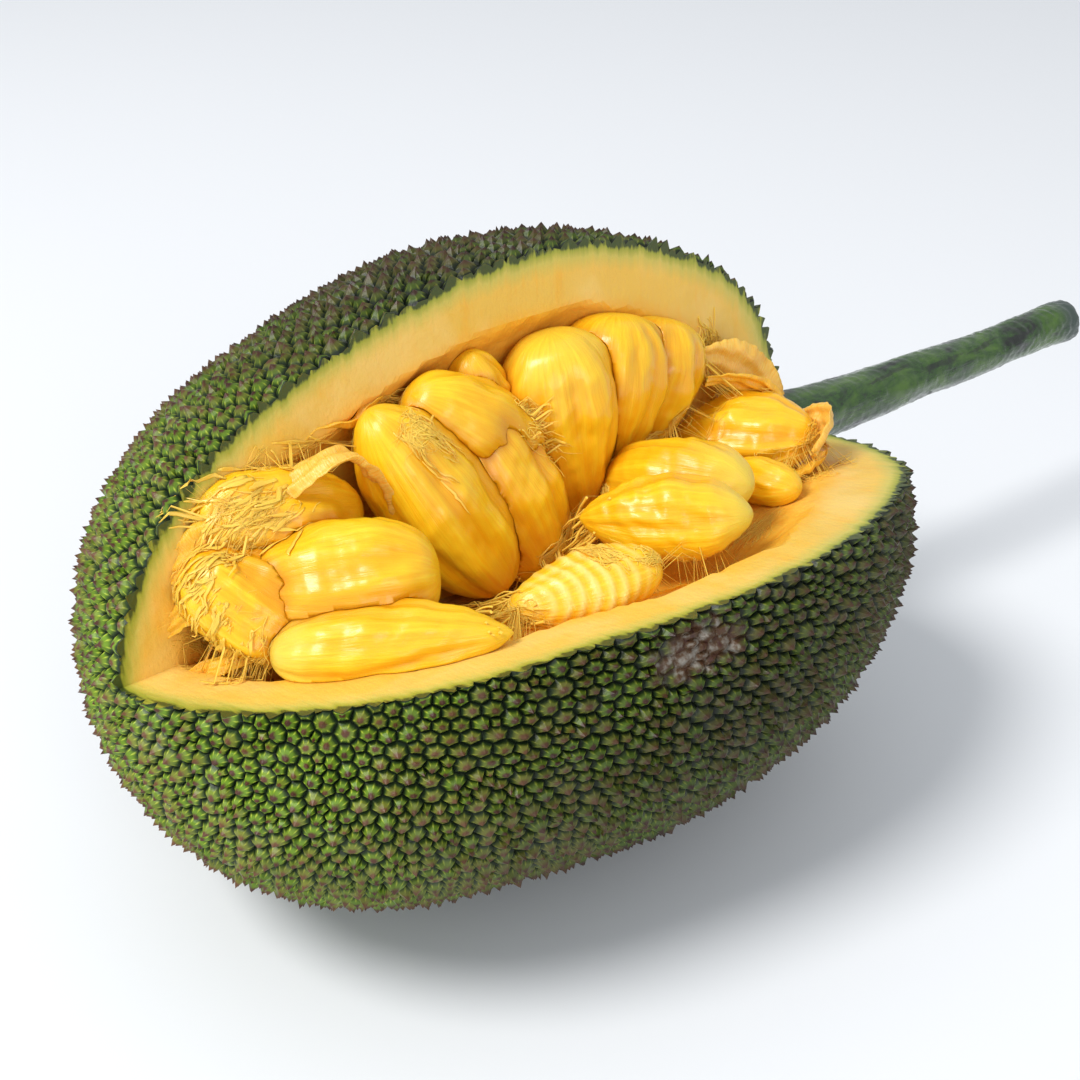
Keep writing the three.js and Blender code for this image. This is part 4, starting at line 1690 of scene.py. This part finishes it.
@dataclass
class Rag:
    """The flat fibrous ribbons between the bulbs."""

    steps: int = 60
    across: int = 18
    end_share: float = 0.55
    tear: float = 0.05
    fold: float = 0.6
    folds: float = 2.3
    specs: tuple[RibbonSpec, ...] = RIBBONS

    def form(self, spec: RibbonSpec) -> bpy.types.Object:
        """Make one ribbon as a thin closed body with a torn edge.

        Args:
            spec: Its path, breadth and turn.

        Returns:
            The ribbon.
        """
        guide = Stem(spec.name, spec.path, (1.0,), self.steps, 4, 0.0, 0.0, spec.seed)
        places = np.linspace(0.0, 1.0, self.steps)
        middles = guide.curve(places)
        tangents = guide.curve(places + 0.01) - guide.curve(places - 0.01)
        tangents /= np.linalg.norm(tangents, axis=1)[:, None]
        lean = np.array(spec.lean, dtype=float)
        breadth = lean - (tangents @ lean)[:, None] * tangents
        breadth /= np.linalg.norm(breadth, axis=1)[:, None]
        through = np.cross(tangents, breadth)
        half = spec.breadth / 2.0 * (self.end_share + (1.0 - self.end_share) * np.sin(math.pi * places))
        loop = np.linspace(-1.0, 1.0, self.across)
        out = np.concatenate([loop, loop[::-1]])
        face = np.concatenate([-np.ones(self.across), np.ones(self.across)])
        thin = np.sqrt(np.maximum(0.05, 1.0 - np.abs(out) ** 3))
        edge = np.stack([np.arange(self.steps) * 1.7, np.zeros(self.steps), np.zeros(self.steps)], axis=1)
        left = 1.0 + self.tear * Rumple(13.0, spec.seed + 5).at(edge)
        right = 1.0 + self.tear * Rumple(10.0, spec.seed + 6).at(edge)
        reach = half[:, None] * out[None, :] * np.where(out[None, :] < 0.0, left[:, None], right[:, None])
        folds = self.fold * np.sin(self.folds * math.pi * out[None, :] + 4.0 * places[:, None] + spec.seed)
        rings = (
            middles[:, None]
            + reach[:, :, None] * breadth[:, None]
            + (spec.thickness / 2.0 * (face * thin)[None, :] + folds)[:, :, None] * through[:, None]
        )
        flat = rings.reshape(-1, 3)
        wave = 0.5 * Rumple(9.0, spec.seed).at(flat) + 0.9 * Rumple(26.0, spec.seed + 1).at(flat)
        flat = flat + np.repeat(through, len(out), axis=0) * wave[:, None]
        return MeshWork.loft(f"{spec.name}_ribbon", flat.reshape(rings.shape), (middles[0], middles[-1]))

    def build(self, material: bpy.types.Material) -> list[bpy.types.Object]:
        """Make the ribbons and dress them.

        Args:
            material: What they wear.

        Returns:
            The ribbons, in the order of their specs.
        """
        made = []
        for spec in self.specs:
            piece = self.form(spec)
            piece.data.materials.append(material)
            made.append(piece)
        return made


@dataclass(frozen=True)
class Tuft:
    """Many loose fibres that run over the flesh from one place to another."""

    start: Triple
    end: Triple
    count: int
    spread: tuple[float, float]
    lift: float = 0.5
    loose: float = 0.0
    width: float = 0.13
    wave: float = 1.2
    laid: bool = True


TUFTS = (
    Tuft((-104, 4, 62), (-129, 0, 44), 46, (7, 8), 1.2, 0.0),
    Tuft((-112, -8, 54), (-133, 2, 30), 46, (6, 8), 1.5, 1.0),
    Tuft((-118, -22, 42), (-134, 0, 14), 40, (5, 8), 1.5, 1.5),
    Tuft((-120, -30, 34), (-130, -26, 8), 36, (4, 8), 1.2, 1.0),
    Tuft((-108, -4, 60), (-122, 2, 70), 26, (6, 5), 1.0, 2.5),
    Tuft((-96, -8, 62), (-120, -12, 52), 34, (6, 5), 0.6, 0.8),
    Tuft((-92, 6, 70), (-112, 6, 66), 22, (5, 6), 1.0, 2.0),
    Tuft((-86, 0, 68), (-60, 6, 72), 24, (4, 4), 0.8, 2.5),
    Tuft((-50, -14, 74), (-38, -20, 66), 34, (3, 6), 0.4, 2.8, 0.22),
    Tuft((-44, -10, 78), (-56, -16, 66), 20, (3, 5), 0.4, 2.0, 0.22),
    Tuft((-2, -13, 60), (9, -18, 50), 34, (4, 5), 0.5, 3.5, 0.24),
    Tuft((2, -10, 66), (12, -14, 60), 16, (3, 4), 0.5, 3.0, 0.24),
    Tuft((104, -6, 52), (131, -12, 34), 44, (8, 7), 1.2, 2.5, 0.2),
    Tuft((112, -2, 58), (122, -14, 36), 34, (7, 6), 1.5, 2.5, 0.2),
    Tuft((112, -4, 54), (104, -26, 40), 10, (5, 5), 2.5, 1.0),
    Tuft((118, -6, 46), (126, -34, 30), 12, (5, 5), 2.5, 1.0),
    Tuft((110, -56, 28), (124, -54, 36), 26, (6, 5), 0.5, 3.0),
    Tuft((98, -52, 24), (116, -62, 26), 26, (6, 6), 0.5, 1.6),
    Tuft((-14, -76, 38), (-22, -62, 44), 22, (4, 3), 0.4, 4.0, 0.24),
    Tuft((-6, -78, 36), (8, -84, 38), 18, (3, 4), 0.4, 2.5, 0.24),
    Tuft((-46, -62, 24), (-40, -78, 22), 26, (5, 6), 0.4, 1.5),
    Tuft((10, -86, 26), (50, -76, 12), 34, (8, 8), 0.4, 0.6),
    Tuft((60, -70, 10), (92, -66, 14), 34, (8, 8), 0.4, 0.8),
    Tuft((132, -6, 8), (92, -8, 10), 40, (4, 5), 0.3, 0.2, 0.34),
    Tuft((84, -6, 8), (28, -20, 2), 46, (4, 5), 0.3, 0.2, 0.34),
    Tuft((24, -20, 2), (-20, -36, 4), 36, (5, 6), 0.3, 0.3, 0.34),
    Tuft((-20, 6, 70), (-62, 8, 74), 24, (6, 6), 0.5, 0.8),
    Tuft((-128, 6, 20), (-100, 0, 6), 40, (7, 8), 0.4, 0.4),
    Tuft((-6, -40, 14), (36, -26, 26), 34, (3, 3), 0.3, 0.2, 0.28),
    Tuft((34, -26, 24), (92, -10, 36), 34, (3, 3), 0.3, 0.2, 0.28),
    Tuft((66, -28, 34), (104, -22, 42), 16, (3, 5), 0.4, 0.6),
    Tuft((-60, -70, 30), (-40, -50, 26), 26, (5, 5), 0.5, 0.8),
)


@dataclass
class Strands:
    """The loose fibres of the rag, each a thin round thread that follows what it lies on."""

    steps: int = 11
    sides: int = 4
    seed: int = 61
    reach: float = 16.0
    rise: float = 0.1
    slack: float = 0.45
    plenty: float = 1.5
    root_count: int = 22
    root_width: float = 0.42
    root_depth: float = 9.0
    root_reach: float = 1.5
    tufts: tuple[Tuft, ...] = TUFTS

    def roots(self) -> list[Tuft]:
        """Tie the inner end of every bulb to the nearest place of the core.

        Returns:
            One tuft for each bulb.
        """
        core = CORE.curve(np.linspace(0.0, 1.0, 80))
        tied = []
        for spec in BULBS:
            inner = np.array(spec.inner, dtype=float)
            start = inner + self.root_depth * unit(np.array(spec.outer) - inner)
            nearest = core[np.argmin(np.linalg.norm(core - inner, axis=1))]
            end = start + (nearest - start) * self.root_reach
            tied.append(
                Tuft(
                    tuple(start),
                    tuple(end),
                    self.root_count,
                    spread=(6.0, 3.5),
                    lift=0.0,
                    width=self.root_width,
                    wave=2.0,
                    laid=False,
                )
            )
        return tied

    def lines(self, ground: BVHTree) -> tuple[np.ndarray, np.ndarray]:
        """Lay the middle line of every fibre.

        Args:
            ground: A search tree of what the fibres lie on, in metres.

        Returns:
            The points of all lines, of shape (fibres, steps, 3), and the width of each fibre.
        """
        random = np.random.default_rng(self.seed)
        share = np.linspace(0.0, 1.0, self.steps)[:, None]
        lines: list[np.ndarray] = []
        widths: list[float] = []
        for tuft in (*self.tufts, *self.roots()):
            for _ in range(round(tuft.count * self.plenty)):
                start = np.array(tuft.start) + random.normal(size=3) * tuft.spread[0] * 0.6
                end = np.array(tuft.end) + random.normal(size=3) * tuft.spread[1] * 0.6
                cut = random.uniform(0.3, 0.95)
                side = random.normal(size=3) * tuft.wave
                turn = random.normal(size=3) * tuft.wave * 0.6
                route = start + (end - start) * share * cut
                route = route + side * np.sin(math.pi * share) + turn * np.sin(3.0 * math.pi * share)
                lift = self.rise + tuft.lift * random.uniform(0.0, 1.0) * np.sin(math.pi * share[:, 0])
                lift = lift + self.slack * tuft.loose * random.uniform(0.2, 1.0) * share[:, 0] ** 2
                if not tuft.laid:
                    lines.append(route)
                    widths.append(tuft.width * random.uniform(0.6, 1.5))
                    continue
                laid = []
                for place, high in zip(to_frame(route), lift):
                    spot, normal, _, _ = ground.find_nearest(Vector(place), self.reach * MM)
                    if spot is None:
                        break
                    laid.append(np.array(spot + normal * high * MM))
                if len(laid) == self.steps:
                    lines.append(from_frame(np.array(laid)))
                    widths.append(tuft.width * random.uniform(0.6, 1.5))
        return np.array(lines), np.array(widths)

    def grower(self) -> Grower:
        """Build the node tree that turns lines into round threads.

        Returns:
            The finished tree.
        """
        grower = Grower("strands", {"Sides": "Int", "Rag": "Material"})
        curve = grower.add("GeometryNodeMeshToCurve", {"Mesh": grower.given["Geometry"]})
        ring = grower.add(
            "GeometryNodeCurvePrimitiveCircle",
            {"Radius": 1.0, "Resolution": grower.given["Sides"]},
            mode="RADIUS",
        )
        feeds = {
            "Curve": curve.outputs["Curve"],
            "Profile Curve": ring.outputs["Curve"],
            "Scale": grower.stored("width"),
            "Fill Caps": True,
        }
        grower.finish(grower.add("GeometryNodeCurveToMesh", feeds).outputs["Mesh"], "Rag")
        return grower

    def build(self, material: bpy.types.Material, ground: BVHTree) -> bpy.types.Object:
        """Make all fibres as one piece.

        Args:
            material: What they wear.
            ground: A search tree of what they lie on.

        Returns:
            The piece, plain and closed.
        """
        lines, widths = self.lines(ground)
        count = len(lines)
        mesh = bpy.data.meshes.new("loose_strands")
        first = np.arange(count)[:, None] * self.steps + np.arange(self.steps - 1)
        edges = np.stack([first.ravel(), first.ravel() + 1], axis=1)
        mesh.from_pydata(to_frame(lines.reshape(-1, 3)).tolist(), edges.tolist(), [])
        taper = np.sqrt(np.linspace(1.0, 0.06, self.steps))
        MeshWork.store(mesh, "width", (widths[:, None] * taper[None, :]).ravel() * MM)
        made = bpy.data.objects.new("loose_strands", mesh)
        bpy.context.scene.collection.objects.link(made)
        self.grower().run(made, {"Sides": self.sides, "Rag": material})
        MeshWork.smooth(made.data)
        LOG.info("strands: %d fibres", count)
        return made


@dataclass(frozen=True)
class Torn:
    """A place where the skin of the rag is torn into flakes that lie one way."""

    middle: Triple
    heading: Triple
    count: int
    spread: float
    length: float = 11.0
    breadth: float = 3.0
    curl: float = 2.2


TORN = (
    Torn((-108, 0, 62), (-1.0, 0.1, -0.2), 60, 9, 16, 1.7, 0.9),
    Torn((-98, -6, 60), (-1.0, -0.2, 0.0), 40, 8, 15, 1.6, 0.8),
    Torn((-118, -8, 52), (-1.0, 0.2, -0.6), 60, 8, 15, 1.6, 1.2),
    Torn((-124, -16, 42), (-0.6, 0.3, -1.0), 50, 7, 14, 1.5, 1.2),
    Torn((-126, -24, 30), (-0.4, 0.2, -1.0), 30, 6, 13, 1.4, 1.4),
    Torn((-76, 0, 68), (-1.0, 0.2, 0.3), 26, 7, 14, 1.4, 0.8),
    Torn((-47, -14, 74), (0.6, -0.5, -0.8), 26, 6, 11, 0.9, 1.0),
    Torn((-42, -16, 68), (0.8, -0.4, -0.8), 18, 6, 10, 0.9, 1.0),
    Torn((2, -14, 58), (0.9, -0.6, 0.3), 22, 5, 9, 1.1, 2.2),
    Torn((8, -16, 50), (0.9, -0.6, -0.2), 14, 4, 9, 1.0, 2.2),
    Torn((118, -8, 46), (1.0, -0.2, -0.2), 26, 8, 13, 1.3, 1.4),
    Torn((118, -54, 30), (1.0, -0.1, 0.1), 24, 6, 10, 1.2, 1.6),
    Torn((-14, -74, 39), (-0.4, 0.9, 0.3), 16, 4, 8, 0.9, 2.2),
    Torn((-52, -66, 28), (1.0, -0.3, -0.2), 14, 5, 9, 1.1, 1.2),
)


@dataclass
class Flakes:
    """Thin torn flakes of pale fibre that stand a little off the bulbs."""

    steps: int = 8
    thickness: float = 0.22
    seed: int = 91
    reach: float = 14.0
    scatter: float = 0.6
    wander: float = 0.2
    sway: float = 0.1
    lift: float = 0.2
    bowl: float = 0.25
    shortest_step: float = 0.05
    places: tuple[Torn, ...] = TORN

    def flake(self, torn: Torn, random: np.random.Generator, ground: BVHTree) -> Optional[np.ndarray]:
        """Shape one flake.

        Args:
            torn: The place that it belongs to.
            random: The source of its differences.
            ground: A search tree of what it lies on, in metres.

        Returns:
            Its rings, of shape (steps, 6, 3), or None where there is nothing to lie on.
        """
        share = np.linspace(0.0, 1.0, self.steps)
        root = np.array(torn.middle) + random.normal(size=3) * torn.spread * self.scatter
        heading = unit(unit(torn.heading) + random.normal(size=3) * self.wander)
        length = torn.length * random.uniform(0.5, 1.3)
        half = torn.breadth * random.uniform(0.35, 1.1) / 2.0
        curl = torn.curl * random.uniform(0.1, 1.2)
        sway = random.normal() * self.sway * length
        middles, normals = [], []
        for place in share:
            above = Vector(to_frame(root + heading * length * place))
            spot, normal, _, _ = ground.find_nearest(above, self.reach * MM)
            if spot is None:
                return None
            middles.append(from_frame(np.array(spot)))
            normals.append(np.array(normal))
        spots = np.array(middles)
        ups = np.array(normals)
        tangents = np.gradient(spots, axis=0)
        size = np.linalg.norm(tangents, axis=1)
        if size.min() < self.shortest_step:
            return None
        tangents /= size[:, None]
        sides = np.cross(tangents, ups)
        sides /= np.maximum(0.2, np.linalg.norm(sides, axis=1))[:, None]
        spots = spots + ups * (self.lift + curl * share**2)[:, None] + sides * (sway * share**2)[:, None]
        widths = half * np.sqrt(np.maximum(0.02, np.sin(math.pi * (0.12 + 0.86 * share))))
        widths *= 1.0 + 0.25 * np.sin(9.0 * share + random.uniform(0.0, 6.0))
        across = np.array([-1.0, -0.5, 0.5, 1.0, 0.5, -0.5])
        height = np.array([0.0, -0.5, -0.5, 0.0, 0.5, 0.5]) * self.thickness
        bowl = self.bowl * half * across**2
        return (
            spots[:, None]
            + (widths[:, None] * across[None, :])[:, :, None] * sides[:, None]
            + (height + bowl)[None, :, None] * ups[:, None]
        )

    def build(self, material: bpy.types.Material, ground: BVHTree) -> bpy.types.Object:
        """Make all flakes as one piece.

        Args:
            material: What they wear.
            ground: A search tree of what they lie on.

        Returns:
            The piece.
        """
        random = np.random.default_rng(self.seed)
        points: list[np.ndarray] = []
        faces: list[tuple[int, ...]] = []
        base = 0
        for torn in self.places:
            for _ in range(torn.count):
                rings = self.flake(torn, random, ground)
                if rings is None:
                    continue
                sides = rings.shape[1]
                points.append(rings.reshape(-1, 3))
                for ring in range(self.steps - 1):
                    low = base + ring * sides
                    for side in range(sides):
                        after = (side + 1) % sides
                        faces.append((low + side, low + after, low + sides + after, low + sides + side))
                faces.append(tuple(base + side for side in reversed(range(sides))))
                faces.append(tuple(base + (self.steps - 1) * sides + side for side in range(sides)))
                base += self.steps * sides
        made = MeshWork.mesh_object("torn_flakes", np.concatenate(points), faces)
        MeshWork.face_out(made.data)
        made.data.materials.append(material)
        MeshWork.smooth(made.data)
        return made


@dataclass
class Studio:
    """Pale floor, soft light from the upper left, and the camera at the photograph's angle."""

    azimuth: float = -41.2
    elevation: float = 31.7
    distance: float = 588.0
    focal_pixels: float = 1570.0
    image_pixels: float = 1080.0
    middle_pixel: tuple[float, float] = (494.9, 557.1)
    sensor: float = 36.0
    floor_half: float = 3000.0
    lamps_aim: Triple = (0.0, 0.0, 0.1)

    @staticmethod
    def facing(spot: Vector, back: Vector) -> Matrix:
        """Give the place and turn of a thing at a spot that looks against the direction back."""
        return Matrix.Translation(spot) @ back.to_track_quat("Z", "Y").to_matrix().to_4x4()

    def camera(self) -> None:
        """Place the camera."""
        data = bpy.data.cameras.new("view")
        data.sensor_width = self.sensor
        data.lens = self.focal_pixels / self.image_pixels * self.sensor
        data.shift_x = (self.image_pixels / 2.0 - self.middle_pixel[0]) / self.image_pixels
        data.shift_y = (self.middle_pixel[1] - self.image_pixels / 2.0) / self.image_pixels
        data.clip_start = 0.01
        made = bpy.data.objects.new("view", data)
        a, e = math.radians(self.azimuth), math.radians(self.elevation)
        back = Vector((math.sin(a) * math.cos(e), -math.cos(a) * math.cos(e), math.sin(e)))
        aim = Vector(to_frame(np.zeros(3)))
        made.matrix_world = self.facing(aim + back * self.distance * MM, back)
        bpy.context.scene.collection.objects.link(made)
        bpy.context.scene.camera = made

    def lamp(self, name: str, place: Triple, size: float, power: float, colour: Triple) -> None:
        """Hang one soft light that faces the fruit.

        Args:
            name: Its name.
            place: Where it hangs, in metres.
            size: How wide it is, in metres.
            power: Its power in watts.
            colour: The colour of its light.
        """
        data = bpy.data.lights.new(name, "AREA")
        data.shape = "DISK"
        data.size = size
        data.energy = power
        data.color = colour
        made = bpy.data.objects.new(name, data)
        spot = Vector(place)
        made.matrix_world = self.facing(spot, spot - Vector(self.lamps_aim))
        bpy.context.scene.collection.objects.link(made)

    def floor(self) -> None:
        """Lay the pale floor."""
        made = MeshWork.mesh_object("floor", np.array(square(self.floor_half, -AXIS_HEIGHT)), [(0, 1, 2, 3)])
        recipe = Recipe("pale floor")
        recipe.plain(Base_Color=(0.84, 0.86, 0.89), Roughness=0.6)
        made.data.materials.append(recipe.material)

    def world(self) -> None:
        """Light everything evenly from all sides."""
        world = bpy.data.worlds.new("studio")
        world.use_nodes = True
        background = world.node_tree.nodes["Background"]
        background.inputs["Color"].default_value = (0.93, 0.96, 1.0, 1.0)
        background.inputs["Strength"].default_value = 0.6
        bpy.context.scene.world = world

    def build(self) -> None:
        """Set up everything that isn't the fruit."""
        bpy.context.scene.view_settings.view_transform = "Standard"
        self.camera()
        self.floor()
        self.world()
        self.lamp("key", (-2.0, 0.3, 2.9), 1.3, 96.0, (1.0, 0.985, 0.96))
        self.lamp("fill", (-0.9, -2.9, 1.3), 1.6, 24.0, (0.97, 0.98, 1.0))


def room_for_bulbs(husk: Husk, material: bpy.types.Material) -> bpy.types.Object:
    """Make the space that the bulbs may fill: the wedge and the hollow, a little shrunk."""
    return replace(husk, rind=husk.rind + ROOM_GAP, gap=ROOM_GAP).wedge(material)


def adopt(piece: bpy.types.Object, node: Optional[str] = None) -> None:
    """Let a finished piece move with the fruit and, where it has one, stand for its node.

    Args:
        piece: The finished piece.
        node: The node that it replaces, if any.
    """
    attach(piece, "root")
    if node is not None:
        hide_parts(node)
    LOG.info("%s: %d faces", piece.name, len(piece.data.polygons))


def main() -> None:
    """Build every sub-assembly in order and attach its pieces to the fruit, each in place of its node where
    it has one.
    """
    logging.basicConfig(level=logging.INFO, format="%(name)s %(message)s")
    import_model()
    studio = Studio()
    studio.build()
    flesh = FleshFinish().material()
    husk = Husk()
    husk_piece = husk.build(SkinFinish().material(), flesh)
    MeshWork.combine(husk_piece, STALK.form(STALK_GAP), "DIFFERENCE")
    adopt(husk_piece, "husk")
    room = room_for_bulbs(husk, flesh)
    bulbs = Bulbs()
    bulb_pieces = bulbs.build(BulbFinish().material(), room)
    for spec, piece in zip(bulbs.specs, bulb_pieces):
        adopt(piece, f"bulb_{spec.name}")
    MeshWork.drop(room)
    for stem, finish in ((STALK, StalkFinish()), (CORE, CoreFinish())):
        piece = stem.form()
        piece.data.materials.append(finish.material())
        adopt(piece, stem.name)
    rag = Rag()
    for spec, piece in zip(rag.specs, rag.build(RagFinish().material())):
        adopt(piece, f"rag_{spec.name}")
    for piece in Rag(specs=SHREDS).build(SHRED_FINISH.material()):
        adopt(piece)
    ground = MeshWork.tree_over([husk_piece, *bulb_pieces])
    adopt(Strands().build(FIBRE_FINISH.material(), ground))
    adopt(Flakes().build(FLAKE_FINISH.material(), ground))


if __name__ == "__main__":
    main()
